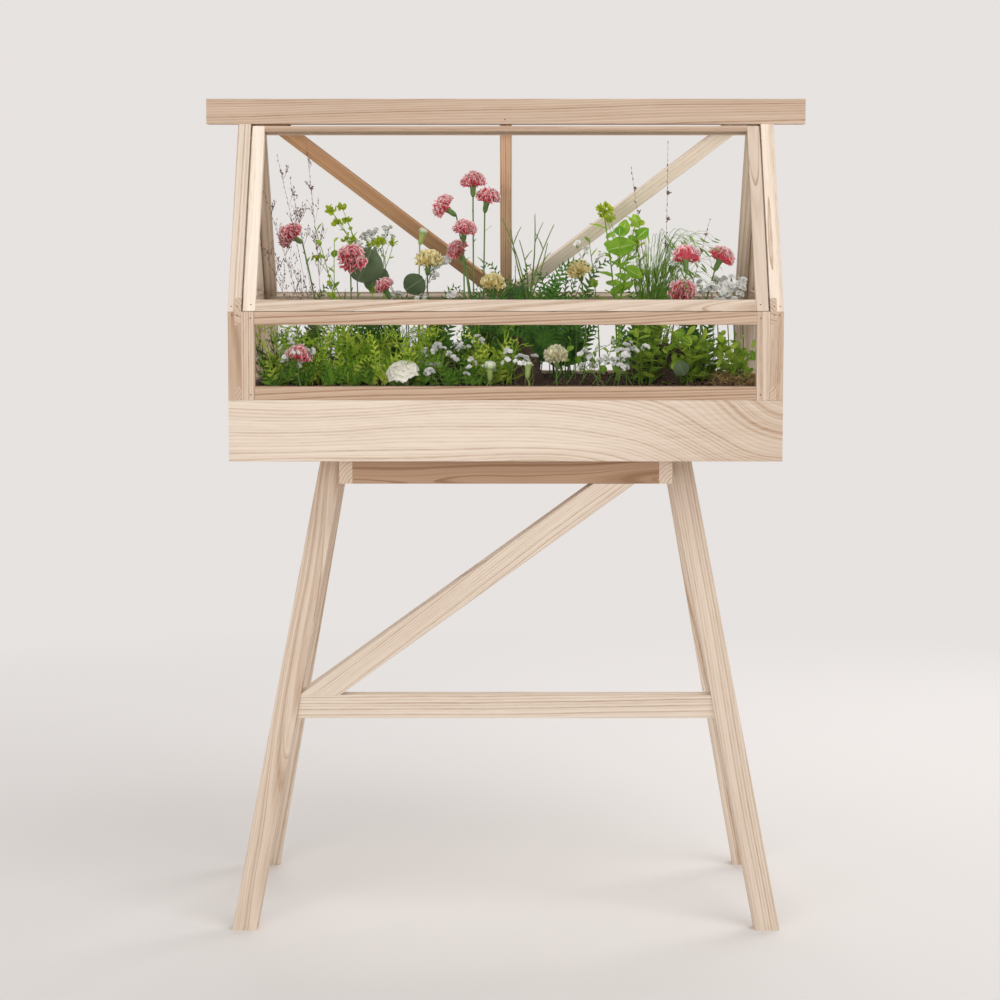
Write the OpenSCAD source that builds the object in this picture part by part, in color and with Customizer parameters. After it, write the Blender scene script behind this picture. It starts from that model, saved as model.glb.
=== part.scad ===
// Greenhouse planter: an ash and glass greenhouse with a hinged roof sash,
// over a planting tray, carried by a splayed stand.
// Millimetres. X runs left to right, the front is at -Y, the floor is at Z 0.

/* [Stand] */
// Height from the floor to the underside of the tray
stand_h = 722; // [690:1:750]
// Face width of the legs and the brace
leg_w = 37; // [34:1:40]
// Thickness of the legs, the long rails, the stretcher and the brace
leg_t = 28; // [26:1:30]
// Distance from the middle to a foot's outer corner, across the width
foot_x = 420; // [405:1:430]
// Distance from the middle to a foot's outer corner, across the depth
foot_y = 204; // [198:1:210]
// Lean of each leg across the width, in mm for each metre of height
lean_x = 184; // [175:1:190]
// Lean of each leg across the depth, in mm for each metre of height
lean_y = 179; // [172:1:184]
// Height of the bearers, the long rails and the stretcher
rail_h = 36; // [32:1:40]
// Height of the stretcher's underside above the floor
stretcher_z = 316.5; // [280:0.5:340]

/* [Tray] */
// Width of the tray and of the greenhouse walls
box_w = 836; // [800:2:880]
// Depth of the tray
box_d = 390; // [370:2:400]
// Height of the tray's boards
tray_h = 93; // [80:1:110]
// Thickness of the tray's boards and of the bearers
board_t = 20; // [18:1:22]
// Thickness of the tray's floor panel
floor_t = 12; // [9:1:15]
// Height of the soil's surface above the tray's rim
soil_rise = 15; // [5:1:18]

/* [Greenhouse] */
// Height of the glazed walls below the roof
wall_h = 133.5; // [120:0.5:150]
// Height of the roof, from the eaves to the underside of the ridge beam
roof_h = 285.5; // [270:0.5:300]
// Width and thickness of the wall frames' timbers
frame_s = 20; // [18:1:22]
// Thickness of the two roof frames
sash_t = 15; // [14:0.5:16]
// Face width of the roof frames' stiles and of the mullion
sash_s = 19; // [18:0.5:20]
// Thickness of the glass
glass_t = 3; // [2:0.5:4]
// Length of the ridge beam
ridge_l = 936; // [900:2:960]
// Depth of the ridge beam, front to back
ridge_w = 40; // [38:1:44]
// Height of the ridge beam
ridge_h = 39; // [36:1:42]
// Width of the two diagonal braces in the rear roof frame
diagonal_w = 23.5; // [20:0.5:26]

/* [Hidden] */

$fn = 48;
// Larger than the whole object: the size of a cutting block
huge = 3000;
// Width of the small flat planed along each timber's long edges
arris = 0.8;
// Depth of the grooves that hold the glass
groove = 6;

pale_ash = [0.86, 0.76, 0.63];
warm_ash = [0.78, 0.63, 0.48];
clear_glass = [0.80, 0.88, 0.86, 0.35];
steel = [0.62, 0.62, 0.60];
liner_grey = [0.22, 0.23, 0.24];
earth = [0.16, 0.10, 0.07];
leaf_green = [0.30, 0.48, 0.16];
grass_green = [0.42, 0.52, 0.26];
petal_pink = [0.86, 0.35, 0.44];
petal_white = [0.95, 0.94, 0.86];

// Stand
lean_back = atan(lean_y / 1000);
lean_side = atan(lean_x / 1000 * cos(lean_back));
// Width of a leg measured level across its face
leg_level_w = leg_w / cos(lean_side);
// Depth cut from a leg's top so that it stands flat against its bearer
leg_cut = 3.6;
bearer_x = foot_x - lean_x * stand_h / 1000 - leg_level_w + leg_cut;
bearer_z = stand_h - rail_h;
bearer_half_y = box_d / 2 - board_t;
stretcher_top = stretcher_z + rail_h;
// How far the stretcher's face lies behind the faces of the legs
stretcher_set = 6;
stretcher_y = -foot_y + lean_y * (stretcher_z + rail_h / 2) / 1000 + stretcher_set;
// Where the middle of the brace meets the stretcher and the front rail
brace_foot_x = -(foot_x - lean_x * stretcher_top / 1000 - leg_level_w) + 29.6;
brace_head_x = 165;
brace_rise = bearer_z - stretcher_top;
brace_lean = atan((bearer_half_y + stretcher_y) / brace_rise);
brace_turn = atan((brace_head_x - brace_foot_x) / (brace_rise / cos(brace_lean)));

// Screws that hold each leg to its bearer, from the inside
screw_r = 3;
screw_head_r = 6.5;
screw_head_t = 3;
screw_bite = 17;
screw_z = [bearer_z + 10, bearer_z + 26];

// Tray
rim_z = stand_h + tray_h;
rebate = 10;
liner_t = 1.5;
soil_top = rim_z + soil_rise;
soil_x = box_w / 2 - board_t - liner_t;
soil_y = box_d / 2 - board_t - liner_t;
soil_edge = 8;

// Greenhouse
eave_z = rim_z + wall_h;
ridge_z = eave_z + roof_h;
gable_x = box_w / 2 - frame_s;
pitch = atan((box_d / 2 - ridge_w / 2) / roof_h);
// A slant height for a real one, and the slope's level run for each mm of height
slant = 1 / cos(pitch);
run = tan(pitch);

// The moving sash: its gaps to the gables, the front window and the ridge beam
sash_side_gap = 2.5;
sash_foot_gap = 0.8;
sash_head_gap = 3.2;
sash_x = gable_x - sash_side_gap;
// Where its two rails end, up the slope from the eaves
sash_foot_rail = 21;
sash_head_rail = roof_h * slant - 12;
// The fixed rear frame stands a hair off the gables
rear_x = gable_x - 0.5;
rear_pane_depth = 3;

// Hinge pins, through the sash's stiles into the front rafters
pin_r = 2;
pin_play = 0.05;
pin_end_play = 0.5;
pin_length = 29;
pin_y = -25;
pin_z = ridge_z - 22.5;
pin_inner_x = sash_x - 12.5;

// A window: half width, stile width, thickness, the four levels (foot, top of
// the bottom rail, underside of the top rail, head) and the depth of its pane
wall_levels = [0, frame_s, wall_h - frame_s, wall_h];
wall_window = [gable_x, frame_s, frame_s, wall_levels, (frame_s - glass_t) / 2];
gable_window = [box_d / 2, frame_s, frame_s, wall_levels, (frame_s - glass_t) / 2];
sash_levels = [-20, sash_foot_rail, sash_head_rail, roof_h * slant + 20];
sash = [sash_x, sash_s, sash_t, sash_levels, (sash_t - glass_t) / 2];

// Timber with its four long edges eased, from its corner at the origin
module eased(a, b) {
    polygon([
        [arris, 0], [a - arris, 0], [a, arris], [a, b - arris],
        [a - arris, b], [arris, b], [0, b - arris], [0, arris]
    ]);
}

module bar_x(length, depth, height)
    rotate([90, 0, 90]) linear_extrude(length) eased(depth, height);

module bar_y(width, length, height)
    translate([0, 0, height]) rotate([-90, 0, 0]) linear_extrude(length) eased(width, height);

module bar_z(width, depth, length)
    linear_extrude(length) eased(width, depth);

// Everything below a level, or above it
module below(z) translate([-huge / 2, -huge / 2, z - huge]) cube(huge);
module above(z) translate([-huge / 2, -huge / 2, z]) cube(huge);

module both_sides() {
    children();
    mirror([1, 0, 0]) children();
}

// Stand
// A front right leg's own axes: its outer front edge stands on the Z axis
module along_leg()
    translate([foot_x, -foot_y, 0]) rotate([-lean_back, 0, 0]) rotate([0, -lean_side, 0]) children();

module leg() {
    color(pale_ash) difference() {
        intersection() {
            along_leg() translate([-leg_w, 0, -100]) bar_z(leg_w, leg_t, stand_h + 300);
            above(0);
            below(stand_h);
        }
        translate([bearer_x - huge, -huge / 2, 0]) cube(huge);
        leg_screw_shanks();
    }
}

module leg_front_right() leg();
module leg_front_left() mirror([1, 0, 0]) leg();
module leg_rear_right() mirror([0, 1, 0]) leg();
module leg_rear_left() mirror([0, 1, 0]) leg_front_left();

// Everything that a front right leg's inner side keeps out
module behind_leg()
    along_leg() translate([-leg_w, -huge / 2, -huge / 2]) cube(huge);

function leg_mid_y(z) = -foot_y + lean_y * z / 1000 + leg_t / cos(lean_back) / 2;

module leg_screw_shanks() {
    for (z = screw_z) {
        translate([bearer_x - board_t, leg_mid_y(z), z])
            rotate([0, 90, 0]) cylinder(h = board_t + screw_bite, r = screw_r);
    }
}

module leg_screw_heads() {
    for (z = screw_z) {
        translate([bearer_x - board_t - screw_head_t, leg_mid_y(z), z])
            rotate([0, 90, 0]) cylinder(h = screw_head_t, r1 = screw_head_r - 1.5, r2 = screw_head_r);
    }
}

module leg_screws() {
    color(steel) both_sides() for (turn = [0, 1]) {
        mirror([0, turn, 0]) {
            leg_screw_shanks();
            leg_screw_heads();
        }
    }
}

module bearer() {
    color(pale_ash) difference() {
        translate([bearer_x - board_t, -bearer_half_y, bearer_z])
            bar_y(board_t, 2 * bearer_half_y, rail_h);
        leg_screw_shanks();
        mirror([0, 1, 0]) leg_screw_shanks();
    }
}

module bearer_right() bearer();
module bearer_left() mirror([1, 0, 0]) bearer();

module long_rail() {
    color(warm_ash)
        translate([board_t - bearer_x, -bearer_half_y, bearer_z])
            bar_x(2 * (bearer_x - board_t), leg_t, rail_h);
}

module long_rail_front() long_rail();
module long_rail_rear() mirror([0, 1, 0]) long_rail();

module stretcher() {
    color(pale_ash) difference() {
        translate([-foot_x, stretcher_y, stretcher_z]) bar_x(2 * foot_x, leg_t, rail_h);
        both_sides() behind_leg();
    }
}

module brace() {
    color(pale_ash) difference() {
        intersection() {
            translate([brace_foot_x, stretcher_y, stretcher_top])
                rotate([brace_lean, 0, 0])
                    rotate([0, brace_turn, 0])
                        translate([-leg_w / 2, 0, -200]) bar_z(leg_w, leg_t, 1200);
            above(stretcher_top);
            below(bearer_z);
        }
        mirror([1, 0, 0]) behind_leg();
    }
}

// Tray
module floor_panel()
    translate([-box_w / 2 + board_t - rebate, -box_d / 2 + board_t - rebate, stand_h])
        cube([box_w - 2 * (board_t - rebate), box_d - 2 * (board_t - rebate), floor_t]);

module tray_long_board() {
    color(pale_ash) difference() {
        translate([-box_w / 2, -box_d / 2, stand_h]) bar_x(box_w, board_t, tray_h);
        floor_panel();
    }
}

module tray_front() tray_long_board();
module tray_rear() mirror([0, 1, 0]) tray_long_board();

module tray_end_board() {
    color(pale_ash) difference() {
        translate([box_w / 2 - board_t, -box_d / 2 + board_t, stand_h])
            bar_y(board_t, box_d - 2 * board_t, tray_h);
        floor_panel();
    }
}

module tray_right() tray_end_board();
module tray_left() mirror([1, 0, 0]) tray_end_board();

module tray_floor() color(warm_ash) floor_panel();

module tray_liner() {
    color(liner_grey) difference() {
        translate([-soil_x - liner_t, -soil_y - liner_t, stand_h + floor_t])
            cube([2 * (soil_x + liner_t), 2 * (soil_y + liner_t), tray_h - floor_t]);
        translate([-soil_x, -soil_y, stand_h + floor_t + liner_t])
            cube([2 * soil_x, 2 * soil_y, tray_h]);
    }
}

module soil() {
    foot = stand_h + floor_t + liner_t;
    color(earth) translate([-soil_x, 0, 0]) rotate([90, 0, 90]) linear_extrude(2 * soil_x)
        polygon([
            [-soil_y, foot], [soil_y, foot], [soil_y, soil_top - soil_edge],
            [soil_y - 2 * soil_edge, soil_top], [2 * soil_edge - soil_y, soil_top],
            [-soil_y, soil_top - soil_edge]
        ]);
}

// Glazed frames, lying in X and Z with the outer face at y 0. The rails' ends
// are halved behind the stiles, and the pane sits in a groove all round.
module pane(f) {
    levels = f[3];
    opening = f[0] - f[1];
    translate([-opening - groove, f[4], levels[1] - groove])
        cube([2 * (opening + groove), glass_t, levels[2] - levels[1] + 2 * groove]);
}

module corner_halving(f, low, high, depth)
    translate([f[0] - f[1], depth, low]) cube([f[1], f[2] / 2, high - low]);

module stile(f) {
    levels = f[3];
    difference() {
        translate([f[0] - f[1], 0, levels[0]]) bar_z(f[1], f[2], levels[3] - levels[0]);
        corner_halving(f, levels[0], levels[1], f[2] / 2);
        corner_halving(f, levels[2], levels[3], f[2] / 2);
        pane(f);
    }
}

module rail(f, low, high) {
    difference() {
        translate([-f[0], 0, low]) bar_x(2 * f[0], f[2], high - low);
        both_sides() corner_halving(f, low, high, 0);
        pane(f);
    }
}

module bottom_rail(f) rail(f, f[3][0], f[3][1]);
module top_rail(f) rail(f, f[3][2], f[3][3]);

// Where each frame stands
module at_front_wall() translate([0, -box_d / 2, rim_z]) children();
module at_right_gable() translate([box_w / 2, 0, rim_z]) rotate([0, 0, 90]) children();
module on_front_slope() translate([0, -box_d / 2, eave_z]) rotate([-pitch, 0, 0]) children();
module on_rear_slope() mirror([0, 1, 0]) on_front_slope() children();

module front_window_stile_right() color(pale_ash) at_front_wall() stile(wall_window);
module front_window_stile_left() mirror([1, 0, 0]) front_window_stile_right();
module front_window_rail_bottom() color(warm_ash) at_front_wall() bottom_rail(wall_window);
module front_window_rail_top() color(warm_ash) at_front_wall() top_rail(wall_window);
module front_window_glass() color(clear_glass) at_front_wall() pane(wall_window);

module rear_window_stile_right() mirror([0, 1, 0]) front_window_stile_right();
module rear_window_stile_left() mirror([0, 1, 0]) front_window_stile_left();
module rear_window_rail_bottom() mirror([0, 1, 0]) front_window_rail_bottom();
module rear_window_rail_top() mirror([0, 1, 0]) front_window_rail_top();
module rear_window_glass() mirror([0, 1, 0]) front_window_glass();

module gable_right_posts() color(pale_ash) at_right_gable() both_sides() stile(gable_window);
module gable_right_rails() {
    color(warm_ash) at_right_gable() {
        bottom_rail(gable_window);
        top_rail(gable_window);
    }
}
module gable_right_glass() color(clear_glass) at_right_gable() pane(gable_window);
module gable_left_posts() mirror([1, 0, 0]) gable_right_posts();
module gable_left_rails() mirror([1, 0, 0]) gable_right_rails();
module gable_left_glass() mirror([1, 0, 0]) gable_right_glass();

// The upper gable: two rafters that meet under the ridge beam and a tie
module rafter_stock()
    intersection() {
        on_front_slope() translate([gable_x, 0, -50]) bar_z(frame_s, frame_s, roof_h * slant + 100);
        above(eave_z);
        below(ridge_z);
        translate([0, -huge, 0]) cube(huge);
    }

// Half distance between the lines that run inside the roof by a given depth
function roof_half_y(z, depth) = box_d / 2 - (z - eave_z) * run - depth * slant;

module gable_roof_pane() {
    low = eave_z + frame_s - groove;
    high = ridge_z - 4;
    edge = frame_s - groove;
    translate([box_w / 2 - (frame_s + glass_t) / 2, 0, 0]) rotate([90, 0, 90]) linear_extrude(glass_t)
        polygon([
            [-roof_half_y(low, edge), low], [roof_half_y(low, edge), low],
            [roof_half_y(high, edge), high], [-roof_half_y(high, edge), high]
        ]);
}

// The inner half of the gable's thickness at the rafters' feet, where the tie runs
module tie_zone()
    translate([gable_x, -huge / 2, eave_z - 1]) cube([frame_s / 2, huge, frame_s + 1]);

module gable_rafter() {
    difference() {
        rafter_stock();
        tie_zone();
        gable_roof_pane();
    }
}

module gable_right_rafter_front() {
    color(pale_ash) difference() {
        gable_rafter();
        hinge_pin_shape(pin_r);
    }
}

module gable_right_rafter_rear() color(pale_ash) mirror([0, 1, 0]) gable_rafter();
module gable_left_rafter_front() mirror([1, 0, 0]) gable_right_rafter_front();
module gable_left_rafter_rear() mirror([1, 0, 0]) gable_right_rafter_rear();

// Half the tie's thickness, cut to the lines that run inside the roof by a depth
module tie_half(x, depth) {
    low = eave_z;
    high = eave_z + frame_s;
    translate([x, 0, 0]) rotate([90, 0, 90]) linear_extrude(frame_s / 2)
        polygon([
            [-roof_half_y(low, depth), low], [roof_half_y(low, depth), low],
            [roof_half_y(high, depth), high], [-roof_half_y(high, depth), high]
        ]);
}

module gable_right_tie() {
    color(warm_ash) difference() {
        union() {
            tie_half(gable_x, 0);
            tie_half(box_w / 2 - frame_s / 2, frame_s);
        }
        gable_roof_pane();
    }
}

module gable_left_tie() mirror([1, 0, 0]) gable_right_tie();
module gable_right_roof_glass() color(clear_glass) gable_roof_pane();
module gable_left_roof_glass() mirror([1, 0, 0]) gable_right_roof_glass();

module ridge_beam() {
    color(warm_ash)
        translate([-ridge_l / 2, -ridge_w / 2, ridge_z]) bar_x(ridge_l, ridge_w, ridge_h);
}

// Hinge
module hinge_pin_shape(r)
    translate([pin_inner_x, pin_y, pin_z]) rotate([0, 90, 0]) cylinder(h = pin_length, r = r);

module hinge_pins() color(steel) both_sides() hinge_pin_shape(pin_r);

// The front roof sash, which swings up on the pins
module sash_cut()
    intersection() {
        on_front_slope() children();
        above(eave_z + sash_foot_gap);
        below(ridge_z - sash_head_gap);
    }

module sash_stile_right() {
    color(pale_ash) difference() {
        sash_cut() stile(sash);
        translate([-pin_end_play, 0, 0]) hinge_pin_shape(pin_r + pin_play);
    }
}

module sash_stile_left() mirror([1, 0, 0]) sash_stile_right();

module sash_rail_bottom() color(pale_ash) sash_cut() bottom_rail(sash);
module sash_rail_top() color(warm_ash) sash_cut() top_rail(sash);
module sash_glass() color(clear_glass) on_front_slope() pane(sash);

// The fixed rear roof frame: its pane runs up to the ridge beam, behind a
// mullion and two diagonals that fill the rest of the frame's thickness
module rear_cut()
    intersection() {
        on_rear_slope() children();
        above(eave_z);
        below(ridge_z);
    }

module rear_pane()
    translate([-(rear_x - sash_s + groove), rear_pane_depth, frame_s - groove])
        cube([2 * (rear_x - sash_s + groove), glass_t, roof_h * slant + 50]);

module rear_foot_halving(outer) {
    depth = outer ? 0 : sash_t / 2;
    translate([rear_x - sash_s, depth, -50]) cube([sash_s, sash_t / 2, frame_s + 50]);
}

module rear_roof_stile_right() {
    color(warm_ash) rear_cut() difference() {
        translate([rear_x - sash_s, 0, -50]) bar_z(sash_s, sash_t, roof_h * slant + 100);
        rear_foot_halving(false);
        rear_pane();
    }
}

module rear_roof_stile_left() mirror([1, 0, 0]) rear_roof_stile_right();

module rear_roof_rail() {
    color(pale_ash) rear_cut() difference() {
        translate([-rear_x, 0, -20]) bar_x(2 * rear_x, sash_t, frame_s + 20);
        both_sides() rear_foot_halving(true);
        rear_pane();
    }
}

glazing_bar_y = rear_pane_depth + glass_t;
glazing_bar_t = sash_t - glazing_bar_y;

module rear_roof_mullion() {
    color(warm_ash) rear_cut()
        translate([-sash_s / 2, glazing_bar_y, frame_s])
            bar_z(sash_s, glazing_bar_t, roof_h * slant);
}

// The right diagonal, from the foot of the mullion up to the ridge beam
diagonal_foot = [15, 27.6];
diagonal_head_x = 353;
diagonal_turn = atan((diagonal_head_x - diagonal_foot[0]) / (roof_h * slant - diagonal_foot[1]));

module rear_roof_diagonal_right() {
    color(warm_ash) rear_cut() intersection() {
        translate([diagonal_foot[0], glazing_bar_y, diagonal_foot[1]])
            rotate([0, diagonal_turn, 0])
                translate([-diagonal_w / 2, 0, -60]) bar_z(diagonal_w, glazing_bar_t, 700);
        translate([sash_s / 2, 0, frame_s]) cube([rear_x - 1.5 * sash_s, huge, huge]);
    }
}

module rear_roof_diagonal_left() mirror([1, 0, 0]) rear_roof_diagonal_right();

module rear_roof_glass() color(clear_glass) rear_cut() rear_pane();

// Plants. Each stands on the soil as one turned form, with its stem on its axis.
stem_r = 1.6;
pink_carnations = [
    // x, y, height of the bloom's middle, radius of the bloom
    [-345, 20, 1063, 23], [-240, -30, 1027, 27], [-190, -35, 980, 22], [-52, 2, 1148, 21],
    [-101, -15, 1107, 22], [-28, 22, 1123, 21], [-64, -30, 1074, 22], [-78, -8, 1040, 20],
    [282, -25, 1032, 25], [342, 0, 1030, 22], [276, 8, 979, 25], [-314, -146, 884, 22]
];
yellow_carnations = [
    [-122, 14, 1024, 24], [-20, -30, 989, 20], [114, 0, 1008, 20], [76, -146, 883, 22]
];
white_blooms = [
    [-158, -146, 860, 26], [-24, -150, 864, 12], [34, -150, 866, 10], [-142, 34, 1065, 9]
];

module turned(x, y, outline)
    translate([x, y, soil_top]) rotate_extrude() polygon(outline);

// A carnation: a narrow calyx that flares into a domed, frilled bloom
module carnation(x, y, z, r) {
    h = z - soil_top;
    turned(x, y, [
        [0, 0], [stem_r, 0], [stem_r, h - r], [0.20 * r, h - r], [0.26 * r, h - 0.45 * r],
        [0.80 * r, h - 0.22 * r], [r, h + 0.02 * r], [0.94 * r, h + 0.30 * r],
        [0.60 * r, h + 0.52 * r], [0, h + 0.62 * r]
    ]);
}

module carnations() {
    color(petal_pink) for (p = pink_carnations) carnation(p[0], p[1], p[2], p[3]);
    color(petal_white) for (p = yellow_carnations) carnation(p[0], p[1], p[2], p[3]);
}

// A round bloom or bud on its stem
module round_bloom(x, y, z, r) {
    h = z - soil_top;
    foot = asin(stem_r / r);
    turned(x, y, concat(
        [[0, 0], [stem_r, 0]],
        [for (i = [0:12]) let (a = foot + (180 - foot) * i / 12) [r * sin(a), h - r * cos(a)]]
    ));
}

module white_flowers() {
    color(petal_white) for (p = white_blooms) round_bloom(p[0], p[1], p[2], p[3]);
}

// A clump of leaves, as a low dome
module clump(x, y, r, h)
    turned(x, y, concat([[0, 0]], [for (a = [0:10:80]) [r * cos(a), h * sin(a)]], [[0, h]]));

front_clumps = 9;
front_clump_r = 37;
rear_clumps = 7;
rear_clump_r = 50;

module foliage() {
    color(leaf_green) {
        for (i = [0:front_clumps - 1]) {
            clump(-345 + 77 * i, -80, front_clump_r, 82 + 12 * sin(140 * i));
        }
        for (i = [0:rear_clumps - 1]) {
            clump(-325 + 106 * i, 84, rear_clump_r, 150 + 25 * sin(100 * i + 40));
        }
    }
}

// Feathery grass heads on thin stems, leafy stems and a tuft of fine grass
grass_heads = [
    // x, y, height of the tip
    [-318, -2, 1175], [-283, 28, 1112], [-380, 34, 1128], [250, 22, 1186], [202, 20, 1152], [320, 26, 1088]
];
leafy_stems = [
    // x, y, height of the tip, number of whorls of leaves
    [176, -18, 1085, 5], [150, 20, 1100, 4], [-215, 26, 1040, 4], [34, 22, 1075, 5], [-262, 16, 1095, 4]
];
// The tuft's middle, its height, and the number and lean of its blades
tuft = [226, 22, 1065];
tuft_blades = 12;
tuft_r = 9;

module grass_head(x, y, tip) {
    h = tip - soil_top;
    turned(x, y, [
        [0, 0], [stem_r, 0], [stem_r, h - 118], [5, h - 100], [10, h - 70], [7, h - 35], [0, h]
    ]);
}

// Whorls of leaves, each spreading to its rim and drawn in again above it
module leafy_stem(x, y, tip, whorls) {
    h = tip - soil_top;
    gap = 20;
    reach = 14;
    turned(x, y, concat(
        [[0, 0], [stem_r, 0]],
        [for (i = [whorls:-1:1]) each [
            [stem_r, h - gap * i], [reach, h - gap * i + 9],
            [reach - 2, h - gap * i + 11], [stem_r, h - gap * i + 5]
        ]],
        [[0, h]]
    ));
}

// Blades that stand in a ring and lean outwards
module grass_tuft() {
    rooted = 10;
    height = tuft[2] - soil_top + rooted;
    intersection() {
        for (i = [0:tuft_blades - 1]) {
            translate([tuft[0], tuft[1], soil_top - rooted]) rotate([0, 0, 360 / tuft_blades * i])
                translate([tuft_r, 0, 0]) rotate([0, 2 + 2 * (i % 3), 0])
                    cylinder(h = height * (0.86 + 0.05 * (i % 3)), r1 = 1.8, r2 = 0.6);
        }
        above(soil_top);
    }
}

module tall_stems() {
    color(grass_green) {
        for (p = grass_heads) grass_head(p[0], p[1], p[2]);
        for (p = leafy_stems) leafy_stem(p[0], p[1], p[2], p[3]);
        grass_tuft();
    }
}

leg_front_left();
leg_front_right();
leg_rear_left();
leg_rear_right();
bearer_left();
bearer_right();
long_rail_front();
long_rail_rear();
stretcher();
brace();
leg_screws();
tray_front();
tray_rear();
tray_left();
tray_right();
tray_floor();
tray_liner();
soil();
front_window_stile_left();
front_window_stile_right();
front_window_rail_bottom();
front_window_rail_top();
front_window_glass();
rear_window_stile_left();
rear_window_stile_right();
rear_window_rail_bottom();
rear_window_rail_top();
rear_window_glass();
gable_left_posts();
gable_left_rails();
gable_left_glass();
gable_right_posts();
gable_right_rails();
gable_right_glass();
gable_left_rafter_front();
gable_left_rafter_rear();
gable_left_tie();
gable_left_roof_glass();
gable_right_rafter_front();
gable_right_rafter_rear();
gable_right_tie();
gable_right_roof_glass();
ridge_beam();
hinge_pins();
sash_stile_left();
sash_stile_right();
sash_rail_bottom();
sash_rail_top();
sash_glass();
rear_roof_stile_left();
rear_roof_stile_right();
rear_roof_rail();
rear_roof_mullion();
rear_roof_diagonal_left();
rear_roof_diagonal_right();
rear_roof_glass();
carnations();
white_flowers();
foliage();
tall_stems();
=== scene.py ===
import math
import random

import bpy
import numpy as np
from mathutils import Euler, Matrix, Vector


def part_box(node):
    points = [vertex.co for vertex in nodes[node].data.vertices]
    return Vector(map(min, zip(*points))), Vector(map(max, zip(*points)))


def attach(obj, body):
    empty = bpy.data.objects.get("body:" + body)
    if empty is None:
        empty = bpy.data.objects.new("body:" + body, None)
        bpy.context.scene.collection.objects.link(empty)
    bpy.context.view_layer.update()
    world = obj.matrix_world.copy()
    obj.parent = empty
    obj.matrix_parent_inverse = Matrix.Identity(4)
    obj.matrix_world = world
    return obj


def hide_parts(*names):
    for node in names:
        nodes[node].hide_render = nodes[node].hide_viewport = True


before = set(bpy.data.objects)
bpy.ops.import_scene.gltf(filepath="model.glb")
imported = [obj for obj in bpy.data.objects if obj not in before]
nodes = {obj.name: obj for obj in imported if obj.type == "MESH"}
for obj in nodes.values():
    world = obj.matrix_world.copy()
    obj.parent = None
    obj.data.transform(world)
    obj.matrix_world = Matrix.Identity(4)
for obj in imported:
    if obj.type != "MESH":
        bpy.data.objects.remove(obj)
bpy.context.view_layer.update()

# Camera and room
# The camera looks slightly down at the greenhouse from the height of its walls.
# The floor is a plain pale sheet, and the room beyond it is plain white.
scene = bpy.context.scene


def linked(name, data):
    """An object in the scene for a mesh, lamp or camera."""
    made = bpy.data.objects.new(name, data)
    scene.collection.objects.link(made)
    return made


DOWNWARD_TILT = 5.2
lens = bpy.data.cameras.new("camera")
lens.lens, lens.sensor_width = 89.28, 36
lens.shift_x, lens.shift_y = -0.0103, -0.07
camera = linked("camera", lens)
camera.location = (0.0069, -3.922, 1.109)
camera.rotation_euler = (math.radians(90 - DOWNWARD_TILT), 0, 0)
scene.camera = camera
scene.view_settings.view_transform = "Standard"


def add(tree, kind, inputs=None, **settings):
    """A new node with its settings, and each input set to a value or joined to a socket."""
    node = tree.nodes.new(kind)
    for name, value in settings.items():
        setattr(node, name, value)
    for name, value in (inputs or {}).items():
        if isinstance(value, bpy.types.NodeSocket):
            tree.links.new(value, node.inputs[name])
        else:
            node.inputs[name].default_value = value
    return node


def calc(tree, operation, *values, clamp=False):
    """The result of a Math node on numbers or sockets."""
    numbered = dict(enumerate(values))
    return add(tree, "ShaderNodeMath", numbered, operation=operation, use_clamp=clamp).outputs[0]


def arrow(tree, operation, first, second=None):
    """The result of a Vector Math node on one vector, or on a vector and a second vector or scale."""
    inputs = {0: first}
    if second is not None:
        inputs["Scale" if operation == "SCALE" else 1] = second
    made = add(tree, "ShaderNodeVectorMath", inputs, operation=operation)
    return made.outputs["Value" if operation == "LENGTH" else "Vector"]


def mix_shaders(tree, share, first, second):
    return add(tree, "ShaderNodeMixShader", {0: share, 1: first.outputs[0], 2: second.outputs[0]})


def blank(owner):
    """The emptied node tree of a material or world."""
    owner.use_nodes = True
    owner.node_tree.nodes.clear()
    return owner.node_tree


def surface(tree, shader, kind="Material"):
    """Joins the last shader to the output."""
    tree.links.new(shader.outputs[0], add(tree, "ShaderNodeOutput" + kind).inputs["Surface"])


def put_mesh(name, vertices, faces=(), edges=()):
    """A mesh object at the origin."""
    mesh = bpy.data.meshes.new(name)
    mesh.from_pydata([tuple(v) for v in vertices], edges, faces)
    return linked(name, mesh)


def ring_of(radius, sides, z=0.0):
    """Points round the Z axis."""
    turns = [math.tau * i / sides for i in range(sides)]
    return [(radius * math.cos(a), radius * math.sin(a), z) for a in turns]


ROOM_COLOR = (0.80, 0.765, 0.745, 1)
FLOOR_COLOR = (0.78, 0.75, 0.73, 1)
DAYLIGHT_COLOR, DAYLIGHT_STRENGTH = (1.0, 0.985, 0.97, 1), 0.46
FLOOR_RADIUS, FLOOR_SIDES = 30.0, 64
FADE_START, FADE_LENGTH = 0.8, 1.8

floor_material = bpy.data.materials.new("pale floor")
tree = blank(floor_material)
reach = arrow(tree, "LENGTH", add(tree, "ShaderNodeTexCoord").outputs["Object"])
fade = calc(tree, "DIVIDE", calc(tree, "SUBTRACT", reach, FADE_START), FADE_LENGTH, clamp=True)
painted = add(tree, "ShaderNodeBsdfPrincipled", {"Base Color": FLOOR_COLOR, "Roughness": 0.8})
haze = add(tree, "ShaderNodeEmission", {"Color": ROOM_COLOR, "Strength": 1.0})
surface(tree, mix_shaders(tree, fade, painted, haze))
floor = put_mesh("floor", ring_of(FLOOR_RADIUS, FLOOR_SIDES), [tuple(range(FLOOR_SIDES))])
floor.data.materials.append(floor_material)

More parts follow.
